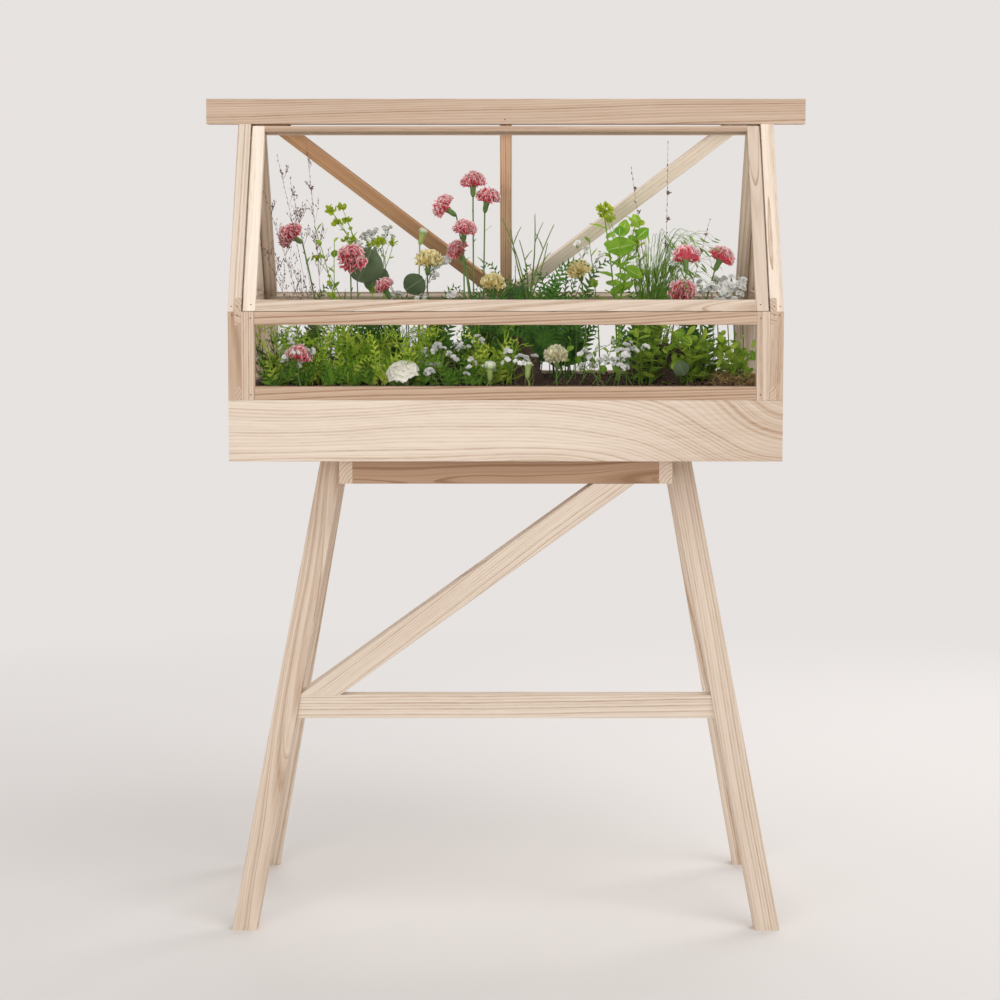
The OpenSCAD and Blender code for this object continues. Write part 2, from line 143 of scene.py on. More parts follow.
scene.world = bpy.data.worlds.new("room")
tree = blank(scene.world)
path = add(tree, "ShaderNodeLightPath").outputs
seen = calc(tree, "MAXIMUM", path["Is Camera Ray"], path["Is Glossy Ray"])
seen = calc(tree, "MAXIMUM", seen, path["Is Transmission Ray"])
daylight = add(tree, "ShaderNodeBackground", {"Color": DAYLIGHT_COLOR, "Strength": DAYLIGHT_STRENGTH})
backdrop = add(tree, "ShaderNodeBackground", {"Color": ROOM_COLOR, "Strength": 1.0})
surface(tree, mix_shaders(tree, seen, daylight, backdrop), "World")


def soft_lamp(name, location, height, width, watts):
    """A square white lamp, turned to a height on the Z axis. Neither the camera nor the panes show it."""
    light = bpy.data.lights.new(name, "AREA")
    light.shape, light.size, light.energy = "SQUARE", width, watts
    lamp = linked(name, light)
    lamp.location = location
    lamp.visible_camera = lamp.visible_glossy = lamp.visible_transmission = False
    lamp.rotation_euler = (Vector((0, 0, height)) - Vector(location)).to_track_quat("-Z", "Y").to_euler()


soft_lamp("window light", (1.7, -2.1, 3.8), 0.9, 2.8, 60)
soft_lamp("fill light", (-1.2, -3.6, 1.2), 0.9, 2.6, 56)
soft_lamp("back light", (0.2, 2.4, 3.0), 1.0, 2.0, 34)
soft_lamp("low side light", (2.3, 2.2, 1.5), 0.6, 1.6, 34)

# Ash timbers
# Planed ash, sawn from logs, so each piece shows its own growth rings along its
# length. The frames are half-lapped and glued, and every surface is matt oiled.
PALE_ASH = (0.800, 0.695, 0.585, 1)
WARM_ASH = (0.44, 0.235, 0.115, 1)
PALE_RING = (0.420, 0.265, 0.160, 1)
WARM_RING = (0.230, 0.120, 0.062, 1)


def open_group(name, inputs, outputs=(("Geometry", "Geometry"),), kind="GeometryNodeTree"):
    """A node group with its inputs (name, type, default) and outputs (name, type)."""
    group = bpy.data.node_groups.new(name, kind)
    for label, shape, *default in inputs:
        made = group.interface.new_socket(label, in_out="INPUT", socket_type="NodeSocket" + shape)
        if default:
            made.default_value = default[0]
    for label, shape in outputs:
        group.interface.new_socket(label, in_out="OUTPUT", socket_type="NodeSocket" + shape)
    return group, add(group, "NodeGroupInput").outputs, add(group, "NodeGroupOutput").inputs


def noise(tree, vector, stretch, detail=2.0, output="Fac"):
    """Noise on a vector scaled by three numbers for each metre."""
    scaled = arrow(tree, "MULTIPLY", vector, stretch)
    return add(tree, "ShaderNodeTexNoise", {"Vector": scaled, "Scale": 1.0, "Detail": detail}).outputs[output]


def ranged(tree, value, start=0.0, end=1.0, low=0.0, high=1.0):
    """A value between start and end, moved to between low and high."""
    return add(tree, "ShaderNodeMapRange", {0: value, 1: start, 2: end, 3: low, 4: high}).outputs[0]


def blend(tree, share, first, second):
    """A colour between two others."""
    return add(tree, "ShaderNodeMix", {"Factor": share, 6: first, 7: second}, data_type="RGBA").outputs[2]


def bumped(tree, height, strength, distance):
    return add(tree, "ShaderNodeBump", {"Height": height, "Strength": strength, "Distance": distance}).outputs[0]


ash_grain, inner, result = open_group("ash grain", [
    ("Vector", "Vector"), ("Pale", "Color", PALE_ASH), ("Ring", "Color", PALE_RING), ("Ring Width", "Float", 0.005),
    ("Waviness", "Float", 0.012), ("Figure", "Float", 1.0), ("Knot", "Vector", (1000, 0, 0)),
    ("Knot Size", "Float", 0.08), ("Knot Push", "Float", 0.0),
], [("Color", "Color"), ("Roughness", "Float"), ("Height", "Float")], "ShaderNodeTree")
tree = ash_grain
wave = noise(tree, inner["Vector"], (2.2, 9, 9), 1.5, "Color")
wave = arrow(tree, "SCALE", arrow(tree, "SUBTRACT", wave, (0.5, 0.5, 0.5)), inner["Waviness"])
bent = arrow(tree, "ADD", inner["Vector"], wave)
radius = arrow(tree, "LENGTH", arrow(tree, "MULTIPLY", bent, (0, 1, 1)))
aside = arrow(tree, "MULTIPLY", arrow(tree, "SUBTRACT", bent, inner["Knot"]), (0.55, 1, 1))
aside = calc(tree, "DIVIDE", arrow(tree, "LENGTH", aside), inner["Knot Size"])
knot = calc(tree, "EXPONENT", calc(tree, "MULTIPLY", calc(tree, "POWER", aside, 2.0), -1.0))
radius = calc(tree, "MULTIPLY_ADD", knot, inner["Knot Push"], radius)
count = calc(tree, "DIVIDE", radius, inner["Ring Width"])
year = add(tree, "ShaderNodeTexWhiteNoise", {"W": calc(tree, "FLOOR", count)}, noise_dimensions="1D").outputs["Value"]
# One year of growth: how dark its ring is from the start of spring to the end of summer
ramp = add(tree, "ShaderNodeValToRGB", {"Fac": calc(tree, "FRACT", count)})
stops = ramp.color_ramp.elements
for position, value in ((0.10, 0.30), (0.30, 0.72), (0.58, 0.20), (0.92, 0.02)):
    stops.new(position).color = (value, value, value, 1)
stops[0].color = (0.30, 0.30, 0.30, 1)
early = calc(tree, "MULTIPLY", ramp.outputs[0], calc(tree, "MULTIPLY_ADD", year, 0.85, 0.15))
between = calc(tree, "PINGPONG", calc(tree, "MULTIPLY", count, 2.7), 0.5)
fibre = noise(tree, inner["Vector"], (14, 420, 420), 3.0)
tone = noise(tree, inner["Vector"], (1.4, 16, 16), 2.0)
# Open pores show as short dark strokes, only where the ring is dark
pore = noise(tree, inner["Vector"], (45, 900, 900), 1.0)
pore = calc(tree, "MULTIPLY", ranged(tree, pore, 0.50, 0.62), early)
around_knot = calc(tree, "MULTIPLY", knot, calc(tree, "GREATER_THAN", inner["Knot Push"], 0.0))
shade = calc(tree, "MULTIPLY", calc(tree, "MULTIPLY_ADD", between, 0.30, early), inner["Figure"])
shade = calc(tree, "MULTIPLY_ADD", calc(tree, "SUBTRACT", fibre, 0.5), 0.45, shade)
shade = calc(tree, "MULTIPLY_ADD", calc(tree, "SUBTRACT", tone, 0.5), 0.55, shade)
shade = calc(tree, "MULTIPLY_ADD", pore, 0.40, shade)
shade = calc(tree, "MULTIPLY_ADD", around_knot, 0.30, shade, clamp=True)
tree.links.new(blend(tree, shade, inner["Pale"], inner["Ring"]), result["Color"])
tree.links.new(calc(tree, "MULTIPLY_ADD", shade, 0.14, 0.52), result["Roughness"])
tree.links.new(calc(tree, "MULTIPLY_ADD", early, -0.6, calc(tree, "MULTIPLY", fibre, 0.6)), result["Height"])


def dress(node, material):
    """The CAD node keeps its shape and gets this material."""
    nodes[node].data.materials.clear()
    nodes[node].data.materials.append(material)


def tinted(pale, warm, share, gain=1.0):
    """A colour moved towards a warmer one by a share, then made lighter or darker."""
    return (*(gain * (p * (1 - share) + w * share) for p, w in zip(pale[:3], warm)), 1)


def ash(node, pale, ring, pith, ring_width=5.0, waviness=12.0, figure=1.0, tilt=(0, 0), along=None, knot=None):
    """Ash whose rings run along a timber. The pith's place behind and below the timber's middle, the rings' width
    and their waviness are in millimetres, the tilt in degrees. A knot is its place, size and push in metres."""
    points = np.array([vertex.co for vertex in nodes[node].data.vertices])
    middle = Vector((points.min(0) + points.max(0)) / 2)
    if along is None:
        along = np.linalg.svd(points - points.mean(0), full_matrices=False)[2][0]
    turn = Vector(along).rotation_difference(Vector((1, 0, 0))).to_matrix()
    turn = Euler((0, math.radians(tilt[0]), math.radians(tilt[1]))).to_matrix() @ turn
    target = Vector((random.Random(node).uniform(-40, 40), -pith[0] / 1000, pith[1] / 1000))
    material = bpy.data.materials.new("ash " + node.replace("_", " "))
    tree = blank(material)
    mapping = add(tree, "ShaderNodeMapping", {
        "Vector": add(tree, "ShaderNodeTexCoord").outputs["Object"], "Rotation": turn.to_euler(),
        "Location": target - turn @ middle})
    settings = {"Vector": mapping.outputs[0], "Pale": pale, "Ring": ring, "Ring Width": ring_width / 1000,
                "Waviness": waviness / 1000, "Figure": figure}
    if knot:
        spot, size, push = knot
        settings |= {"Knot": turn @ Vector(spot) + target - turn @ middle, "Knot Size": size, "Knot Push": push}
    grain = add(tree, "ShaderNodeGroup", settings, node_tree=ash_grain)
    surface(tree, add(tree, "ShaderNodeBsdfPrincipled", {
        "Base Color": grain.outputs["Color"], "Roughness": grain.outputs["Roughness"],
        "Normal": bumped(tree, grain.outputs["Height"], 0.25, 0.0002), "Specular IOR Level": 0.35}))
    dress(node, material)


def timber(node, warmth, *rings, gain=1.0, **more):
    """A timber from pale to warm ash."""
    ash(node, tinted(PALE_ASH, WARM_ASH, 1.05 * warmth, gain), tinted(PALE_RING, WARM_RING, warmth), *rings, **more)


# Each timber's warmth, its pith's place and, where they differ, its ring width, waviness, figure, tilt and gain. The
# gains above one on the rear roof bars and the left sash stile are painted light, and the long front rail's gain below
# one is painted shade.
timber("leg_front_left", 0.20, (26, 22), 4.6, 20, 1.1, (0.8, 0.5))
timber("leg_front_right", 0.10, (10, -60), 4.6, 12, 0.85, (-1.0, 0.5))
# The long front rail's warm tone is the wood's own. Its gain below one darkens it further, which is painted shade
# under the tray.
timber("long_rail_front", 0.74, (45, 20), 3.4, 22, 1.5, (1.2, 0.6), gain=0.88)
timber("long_rail_rear", 0.5, (-50, 30))
timber("stretcher", 0.02, (22, -55), 3.8, 16, 1.0, (1.0, 0))
timber("brace", 0.02, (20, 70), 3.6, 16, 0.9, (1.4, 0.6))
timber("tray_front", 0.06, (40, 90), 4.4, 36, 0.85, (0.4, 0.8), knot=((0.428, -0.195, 0.746), 0.105, 0.10))
timber("tray_rear", 0.15, (-40, 80), 5.8, 24, 1.0, (0.4, -0.8))
timber("front_window_rail_bottom", 0.55, (30, 50), 3.6, 18, 1.5, (1.0, 0.5))
timber("front_window_rail_top", 0.50, (30, 45), 3.8, 18, 1.5, (1.9, 0.8))
timber("front_window_stile_left", 0.27, (5, 55), 3.8, 4)
timber("front_window_stile_right", 0.20, (18, 18), 5.0, 14)
timber("gable_left_posts", 0.52, (25, 20), 3.6, 12, 1.5, along=(0, 0, 1))
timber("gable_right_posts", 0.06, (20, -22), along=(0, 0, 1))
timber("gable_left_rafter_front", 0.06, (4, 60), 3.8, 4)
timber("gable_right_rafter_front", 0.00, (30, 15), 6.0, 10, 0.7, gain=1.14)
timber("ridge_beam", 0.42, (30, 55), 3.0, 14, 1.3, (0.9, 0.3))
# The left sash stile's pale tone is the wood's own. Its gain above one is painted light that lightens its sloped face.
timber("sash_stile_left", 0.00, (30, 10), 6.0, 12, 0.3, gain=1.16)
timber("sash_stile_right", 0.20, (16, 12), 6.0, 16, 1.0, (1.5, 0.5), gain=0.95)
timber("sash_rail_bottom", 0.14, (30, 40), 4.0, 12, 1.0, (2.2, 0.6))
timber("sash_rail_top", 0.45, (20, 40))
# The rear roof bars' gains lift them well above their wood colour. This is painted light on inner faces that look down
# into shade. Their warmth is the wood's own tone.
timber("rear_roof_mullion", 0.74, (20, 50), 3.6, gain=1.74)
timber("rear_roof_diagonal_left", 0.92, (20, 50), 3.6, gain=1.38)
timber("rear_roof_diagonal_right", 0.04, (20, 50), 3.6, 12, 0.6, gain=1.36)
timber("rear_roof_stile_left", 0.35, (-20, 40))
timber("rear_roof_stile_right", 0.20, (-20, 40))
timber("rear_roof_rail", 0.10, (-30, 30))
for level in ("bottom", "top"):
    timber("rear_window_rail_" + level, 0.25, (-30, 30))
for side, sign in (("left", 1), ("right", -1)):
    timber("leg_rear_" + side, 0.1, (50, sign * 50))
    timber("bearer_" + side, 0.2, (sign * 30, 30))
    timber("tray_" + side, 0.15, (30, sign * 20), 6.0)
    timber("rear_window_stile_" + side, 0.2, (-20, 30))
    timber(f"gable_{side}_rafter_rear", 0.25, (-20, 30), gain=1.15)
    timber(f"gable_{side}_rails", 0.4, (30, 30), along=(0, 1, 0))
    timber(f"gable_{side}_tie", 0.35, (30, 30), along=(0, 1, 0))

# Panes
# Clear float glass, 3 mm thick, held in grooves all round. Light passes through
# it without a shadow, as it does through real window glass.
glass = bpy.data.materials.new("clear glass")
tree = blank(glass)
pane = add(tree, "ShaderNodeBsdfPrincipled", {
    "Base Color": (0.995, 1.0, 0.998, 1), "Roughness": 0.0, "IOR": 1.12, "Transmission Weight": 1.0})
through = add(tree, "ShaderNodeBsdfTransparent", {"Color": (0.99, 0.995, 0.992, 1)})
path = add(tree, "ShaderNodeLightPath").outputs
unseen = calc(tree, "MAXIMUM", path["Is Shadow Ray"], path["Is Diffuse Ray"])
surface(tree, mix_shaders(tree, unseen, pane, through))
for node in nodes:
    if node.endswith("glass"):
        dress(node, glass)

# Tray floor, liner and steel
# The tray's floor is a sanded plywood panel under a thin dark plastic liner. The
# legs' screws and the sash's hinge pins are zinc plated steel.
ash("tray_floor", tinted(PALE_ASH, WARM_ASH, 0.3), WARM_RING, (200, 12), 4.0, 50, 0.5)


def plain_material(name, color, roughness, metallic=0.0, speckle=0.25, scale=900.0, bump=0.0002):
    """A surface with fine uneven colour, roughness and grain."""
    material = bpy.data.materials.new(name)
    tree = blank(material)
    specks = noise(tree, add(tree, "ShaderNodeTexCoord").outputs["Object"], (scale, scale, scale), 3.0)
    darker = (*(c * (1 - speckle) for c in color), 1)
    surface(tree, add(tree, "ShaderNodeBsdfPrincipled", {
        "Base Color": blend(tree, specks, darker, (*color, 1)), "Roughness": roughness, "Metallic": metallic,
        "Normal": bumped(tree, specks, 0.4, bump)}))
    return material


steel = plain_material("zinc plated steel", (0.62, 0.62, 0.60), 0.35, metallic=1.0, scale=2500.0, bump=0.00005)
dress("leg_screws", steel)
dress("hinge_pins", steel)
dress("tray_liner", plain_material("liner plastic", (0.05, 0.052, 0.055), 0.45, speckle=0.15))

# Soil
# Damp potting soil, heaped a little above the tray's rim, with loose crumbs and
# bits of bark on top.
earth = plain_material("potting soil", (0.098, 0.052, 0.034), 0.9, speckle=0.75, scale=260.0, bump=0.004)
dress("soil", earth)

# Brads
# Small steel brads with dark round heads pin the frames at the eaves, and one
# sits in the middle of the ridge beam's face. Each head lies in its own dimple.
BRAD_HEAD = 0.0011
WALL_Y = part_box("front_window_stile_left")[0].y
EAVE_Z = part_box("front_window_stile_left")[1].z
ROOF_RUN, ROOF_RISE = 0.175, 0.2855
PITCH = math.atan2(ROOF_RUN, ROOF_RISE)


def on_slope(up, side=-1):
    """A point's depth and height on a roof slope, so far up from the eaves, and the turn of its surface."""
    return side * (abs(WALL_Y) - up * math.sin(PITCH)), EAVE_Z + up * math.cos(PITCH), side * -PITCH


# The dimples on the walls under the eaves, then those on the roof slopes and the one on the ridge beam
wall_brads = [(x, EAVE_Z - 0.0055) for x in (-0.4115, -0.404, 0.404, 0.4115)]
wall_brads += [(x, z) for x in (-0.384, 0.384) for z in (EAVE_Z - 0.010, EAVE_Z - 0.1255)]
planter_brads = [(x, side * abs(WALL_Y), z, 0.0) for x, z in wall_brads for side in (-1, 1)]
planter_brads += [(x, *on_slope(0.009, side)) for x in (-0.413, -0.404, 0.404, 0.413) for side in (-1, 1)]
planter_brads.append((-0.0016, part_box("ridge_beam")[0].y, 1.2409, 0.0))
sash_brads = [(x, *on_slope(0.012)) for x in (-0.3835, 0.3835)]

scatter, inner, result = open_group("scattered pieces", [
    ("Places", "Geometry"), ("Piece", "Object"), ("Size", "Float", 1.0), ("Unevenness", "Float", 0.0),
    ("Spin", "Float", math.pi), ("Tumble", "Float", 0.0), ("Seed", "Int", 1), ("Finish", "Material")])
tree = scatter


def uneven(tree, inner, offset):
    """A random number from -1 to 1 for each point."""
    seed = calc(tree, "ADD", inner["Seed"], offset)
    return add(tree, "FunctionNodeRandomValue", {2: -1.0, 3: 1.0, "Seed": seed}, data_type="FLOAT").outputs[1]


def varied(tree, inner, offset, value):
    """A value that differs from point to point by up to the tree's unevenness."""
    return calc(tree, "MULTIPLY_ADD", uneven(tree, inner, offset), inner["Unevenness"], value)


def named(tree, name, kind="FLOAT"):
    return add(tree, "GeometryNodeInputNamedAttribute", {"Name": name}, data_type=kind).outputs["Attribute"]


def turned(tree, rotation, axis, angle):
    """A rotation followed by a turn round one of its own axes."""
    step = add(tree, "FunctionNodeAxisAngleToRotation", {"Axis": axis, "Angle": angle}).outputs[0]
    return add(tree, "FunctionNodeRotateRotation", {0: rotation, 1: step}, rotation_space="LOCAL").outputs[0]


def faced(tree):
    """The rotation that turns Z to each point's stored facing."""
    way = named(tree, "facing", "FLOAT_VECTOR")
    return add(tree, "FunctionNodeAlignRotationToVector", {"Vector": way}, axis="Z").outputs[0]


def repeat(tree, points, piece, rotation, scale):
    """A copy of a piece at each point."""
    return add(tree, "GeometryNodeInstanceOnPoints", {
        "Points": points, "Instance": piece, "Rotation": rotation, "Scale": scale}).outputs[0]


def piece_of(tree, chosen):
    return add(tree, "GeometryNodeObjectInfo", {"Object": chosen}, transform_space="ORIGINAL").outputs["Geometry"]


def close_growth(tree, geometry, inner, result):
    """The tree's end: real faces with their material."""
    real = add(tree, "GeometryNodeRealizeInstances", {"Geometry": geometry}).outputs[0]
    done = add(tree, "GeometryNodeSetMaterial", {"Geometry": real, "Material": inner["Finish"]}).outputs[0]
    tree.links.new(done, result["Geometry"])


spin = turned(tree, faced(tree), (0, 0, 1), calc(tree, "MULTIPLY", uneven(tree, inner, 3), inner["Spin"]))
spin = turned(tree, spin, (1, 0, 0), calc(tree, "MULTIPLY", uneven(tree, inner, 5), inner["Tumble"]))
scale = calc(tree, "MULTIPLY", varied(tree, inner, 7, 1.0), inner["Size"])
scale = calc(tree, "MULTIPLY", scale, named(tree, "size"))
points = add(tree, "GeometryNodeMeshToPoints", {"Mesh": inner["Places"]}).outputs[0]
close_growth(tree, repeat(tree, points, piece_of(tree, inner["Piece"]), spin, scale), inner, result)


def store(piece, name, values, kind="FLOAT", key="value"):
    """A value for each point, which the trees read by its name."""
    piece.data.attributes.new(name, kind, "POINT").data.foreach_set(key, values)


def places(name, rows):
    """Points with a facing and a size, from rows of (place, facing, size)."""
    made = put_mesh(name, [row[0] for row in rows])
    store(made, "facing", [c for row in rows for c in Vector(row[1]).normalized()], "FLOAT_VECTOR", "vector")
    store(made, "size", [row[2] for row in rows])
    return made


def ride(piece, body="planter"):
    """The piece moves with a body."""
    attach(piece, body)


def grow(source, tree, slot, body="planter", **settings):
    """Runs a tree on an object, with the tree's inputs as keywords, and keeps the result as a plain mesh."""
    modifier = source.modifiers.new("grow", "NODES")
    modifier.node_group = tree
    for item in tree.interface.items_tree:
        keyword = item.name.lower().replace(" ", "_")
        if item.in_out == "INPUT" and keyword in settings:
            modifier[item.identifier] = settings[keyword]
    bpy.context.view_layer.update()
    evaluated = source.evaluated_get(bpy.context.evaluated_depsgraph_get())
    mesh = bpy.data.meshes.new_from_object(evaluated)
    source.modifiers.remove(modifier)
    source.data = mesh
    mesh.name = source.name
    if slot:
        ride(source, body)
    return source


templates = []


def template(name, vertices, faces, uvs=None, smooth=True):
    """A small piece that a tree repeats; it is taken away once all have grown."""
    made = put_mesh(name, vertices, faces)
    if uvs:
        layer = made.data.uv_layers.new(name="UVMap")
        layer.data.foreach_set("uv", [c for face in faces for corner in face for c in uvs[corner]])
    made.data.polygons.foreach_set("use_smooth", [smooth] * len(faces))
    templates.append(made)
    return made


def bands(rings, sides, first=0, down=False):
    """Faces between rings of points, which go upwards, or down."""
    faces = []
    for k in range(rings - 1):
        for i in range(sides):
            a, b = first + k * sides + i, first + k * sides + (i + 1) % sides
            faces.append((a, a + sides, b + sides, b) if down else (a, b, b + sides, a + sides))
    return faces


def lathe(name, outline, sides=10):
    """A turned form on the Z axis, from (radius, height) points."""
    faces = bands(len(outline), sides)
    faces += [tuple(range((len(outline) - 1) * sides, len(outline) * sides)), tuple(reversed(range(sides)))]
    return template(name, [point for r, z in outline for point in ring_of(r, sides, z)], faces)


brad_steel = plain_material("brad steel", (0.16, 0.10, 0.065), 0.5, metallic=0.6, scale=3000.0)
brad = lathe("brad_template", [(1.0, -0.3), (1.0, 0.02), (0.8, 0.16), (0.35, 0.24)])
for name, spots, body in (("planter_brads", planter_brads, "planter"), ("sash_brads", sash_brads, "roof_sash")):
    rows = [((x, y, z), (0, math.copysign(math.cos(turn), y), math.sin(abs(turn))), 1.0) for x, y, z, turn in spots]
    grow(places(name, rows), scatter, "steel", body, piece=brad, size=BRAD_HEAD, finish=brad_steel)

# Loose soil
# Crumbs of potting soil and bits of bark lie over the planted surface, finest
# at the window and coarser in the right corner, and three small heaps rise from it.
SOIL_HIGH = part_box("soil")[1]
SOIL_TOP = SOIL_HIGH.z
CLEAR_OF_SIDES, CLEAR_OF_FRONT = 0.012, 0.018


def lumpy(name, sides, seed, stretch=(1, 1, 1)):
    """A small uneven lump."""
    chance = random.Random(seed)
    vertices = []
    for ring in range(4):
        lean = math.pi * (ring + 0.5) / 4
        for i in range(sides):
            r = chance.uniform(0.75, 1.15)
            turn = math.tau * (i + 0.5 * (ring % 2)) / sides
            vertices.append((r * math.sin(lean) * math.cos(turn) * stretch[0],
                             r * math.sin(lean) * math.sin(turn) * stretch[1], r * math.cos(lean) * stretch[2]))
    faces = bands(4, sides, down=True)
    faces += [tuple(range(sides)), tuple(reversed(range(3 * sides, 4 * sides)))]
    return template(name, vertices, faces, smooth=False)


def over_soil(count, seed, size, low=-1.0, front=-1.0, back=1.0, lift=0.2):
    """Random rows of places on the soil's flat top, between shares of its width and depth."""
    chance = random.Random(seed)
    half_x, half_y = SOIL_HIGH.x - CLEAR_OF_SIDES, SOIL_HIGH.y - CLEAR_OF_FRONT
    rows = []
    for _ in range(count):
        s = size * chance.uniform(0.5, 1.4) ** 1.5
        spot = (half_x * chance.uniform(low, 1.0), half_y * chance.uniform(front, back), SOIL_TOP + lift * s)
        rows.append((spot, (chance.uniform(-1, 1), chance.uniform(-1, 1), 1.2), s))
    return rows


def mound(name, x, y, reach, height, seed):
    """A heap of soil, uneven all over."""
    chance = random.Random(seed)
    vertices, sides, rings = [(x, y, SOIL_TOP + height)], 40, 14
    for k in range(1, rings + 1):
        share = k / rings
        for i in range(sides):
            a = math.tau * i / sides
            r = reach * share * chance.uniform(0.90, 1.06)
            z = height * math.cos(0.5 * math.pi * share) ** 0.7 * chance.uniform(0.90, 1.08) if k < rings else -0.002
            vertices.append((x + r * math.cos(a), y + 0.75 * r * math.sin(a), SOIL_TOP + z))
    faces = [(0, 1 + i, 1 + (i + 1) % sides) for i in range(sides)] + bands(rings, sides, 1, down=True)
    heap = put_mesh(name, vertices, faces)
    heap.data.materials.append(earth)
    ride(heap)


mound("soil_mound_1", -0.085, -0.045, 0.052, 0.048, 40)
mound("soil_mound_2", 0.012, -0.040, 0.050, 0.070, 41)
mound("soil_mound_3", 0.255, -0.045, 0.075, 0.060, 42)
crumb = lumpy("crumb_template", 5, 3)
bark = lumpy("bark_template", 4, 8, (2.6, 0.7, 0.35))
bark_brown = plain_material("bark", (0.20, 0.115, 0.068), 0.85, speckle=0.6, scale=420.0, bump=0.001)
crumbs = over_soil(5000, 11, 0.0024)
grow(places("soil_crumbs", crumbs), scatter, "soil", piece=crumb, tumble=3.1, seed=4, finish=earth)
bits = over_soil(420, 12, 0.0028) + over_soil(380, 13, 0.0040, low=0.72, back=0.2, lift=0.6)
grow(places("bark_bits", bits), scatter, "soil", piece=bark, tumble=0.5, seed=5, finish=bark_brown)

# Leaf and petal finishes
# Real leaves and petals are thin, satin and slightly see-through, with a paler
# midrib and veins, and no two have quite the same green.
mottle, inner, result = open_group("plant mottle", [
    ("Vector", "Vector"), ("Base", "Color"), ("Second", "Color"), ("Patch", "Float", 60.0), ("Own Tone", "Float", 0.5),
], [("Color", "Color"), ("Height", "Float")], "ShaderNodeTree")
tree = mottle
patch = noise(tree, arrow(tree, "SCALE", inner["Vector"], inner["Patch"]), (1, 1, 1), 2.0)
patch = calc(tree, "MULTIPLY_ADD", calc(tree, "SUBTRACT", inner["Own Tone"], 0.5), 0.30, patch)
patch = ranged(tree, patch, 0.32, 0.68)
tree.links.new(blend(tree, patch, inner["Base"], inner["Second"]), result["Color"])
tree.links.new(noise(tree, inner["Vector"], (700, 700, 700), 2.0), result["Height"])


def plant_material(name, base, second, edge=None, edge_start=0.8, edge_soft=0.15, rib=None, roughness=0.5,
                   patch=60.0, see_through=0.35):
    """A leaf or petal: mottled colour, an optional rim colour along v and midrib along u, light coming through."""
    material = bpy.data.materials.new(name)
    tree = blank(material)
    coordinates = add(tree, "ShaderNodeTexCoord").outputs
    mix = add(tree, "ShaderNodeGroup", {
        "Vector": coordinates["Object"], "Base": (*base, 1), "Second": (*second, 1), "Patch": patch,
        "Own Tone": add(tree, "ShaderNodeNewGeometry").outputs["Random Per Island"]}, node_tree=mottle)
    color = mix.outputs["Color"]
    across, along, _ = add(tree, "ShaderNodeSeparateXYZ", {0: coordinates["UV"]}).outputs
    if rib:
        middle = calc(tree, "ABSOLUTE", calc(tree, "SUBTRACT", across, 0.5))
        vein = calc(tree, "MULTIPLY_ADD", along, 9.0, calc(tree, "MULTIPLY", middle, -5.0))
        vein = calc(tree, "LESS_THAN", calc(tree, "PINGPONG", vein, 0.5), 0.07)
        vein = calc(tree, "MAXIMUM", calc(tree, "MULTIPLY", vein, 0.45), calc(tree, "LESS_THAN", middle, 0.045))
        color = blend(tree, calc(tree, "MULTIPLY", vein, 0.7), color, (*rib, 1))
    if edge:
        ragged = noise(tree, coordinates["Object"], (420, 420, 420), 2.0)
        start = calc(tree, "MULTIPLY_ADD", ragged, 0.20, edge_start - 0.10)
        rim = calc(tree, "DIVIDE", calc(tree, "SUBTRACT", along, start), edge_soft, clamp=True)
        color = blend(tree, rim, color, (*edge, 1))
    bump = bumped(tree, mix.outputs["Height"], 0.25, 0.0004)
    satin = add(tree, "ShaderNodeBsdfPrincipled", {
        "Base Color": color, "Roughness": roughness, "Normal": bump, "Specular IOR Level": 0.18})
    glow = add(tree, "ShaderNodeBsdfTranslucent", {"Color": color, "Normal": bump})
    surface(tree, mix_shaders(tree, see_through, satin, glow))
    return material


def blade(name, rows, columns, shape):
    """A petal or leaf template. shape(u, v) gives its point, for u from -1 to 1 across and v from 0 to 1 along."""
    spots = [(i / columns, j / rows) for j in range(rows + 1) for i in range(columns + 1)]
    vertices = [shape(2 * i / columns - 1, j / rows) for j in range(rows + 1) for i in range(columns + 1)]
    wide = columns + 1
    faces = [(j * wide + i, j * wide + i + 1, (j + 1) * wide + i + 1, (j + 1) * wide + i)
             for j in range(rows) for i in range(columns)]
    return template(name, vertices, faces, spots)


# Stems with leaves, shared by every plant: a tree of curves with its girth
# stored at each point carries tubes, and leaves in a spiral or in two rows.
sprays, inner, result = open_group("leafy sprays", [
    ("Stems", "Geometry"), ("Leaf", "Object"), ("Spacing", "Float", 0.01), ("Leaf Size", "Float", 0.02),
    ("Lean", "Float", 0.8), ("Twist", "Float", 2.4), ("Bare Share", "Float", 0.2), ("Tip Size", "Float", 0.6),
    ("Unevenness", "Float", 0.2), ("Sides", "Int", 5), ("Seed", "Int", 1), ("Finish", "Material")])
tree = sprays
curve = add(tree, "GeometryNodeMeshToCurve", {"Mesh": inner["Stems"]}).outputs[0]
share = add(tree, "GeometryNodeSplineParameter").outputs["Factor"]
curve = add(tree, "GeometryNodeStoreNamedAttribute", {"Geometry": curve, "Name": "share", "Value": share},
            data_type="FLOAT", domain="POINT").outputs[0]
ring = add(tree, "GeometryNodeCurvePrimitiveCircle", {"Resolution": inner["Sides"], "Radius": 1.0}).outputs["Curve"]
tube = add(tree, "GeometryNodeCurveToMesh", {
    "Curve": curve, "Profile Curve": ring, "Scale": named(tree, "girth"), "Fill Caps": True}).outputs[0]
leafy = add(tree, "GeometryNodeTrimCurve", {"Curve": curve, 2: inner["Bare Share"], 3: 0.995}, mode="FACTOR")
spots = add(tree, "GeometryNodeCurveToPoints", {"Curve": leafy.outputs[0], "Length": inner["Spacing"]}, mode="LENGTH")
step = calc(tree, "MULTIPLY", add(tree, "GeometryNodeInputIndex").outputs[0], inner["Twist"])
rotation = turned(tree, spots.outputs["Rotation"], (0, 0, 1), varied(tree, inner, 3, step))
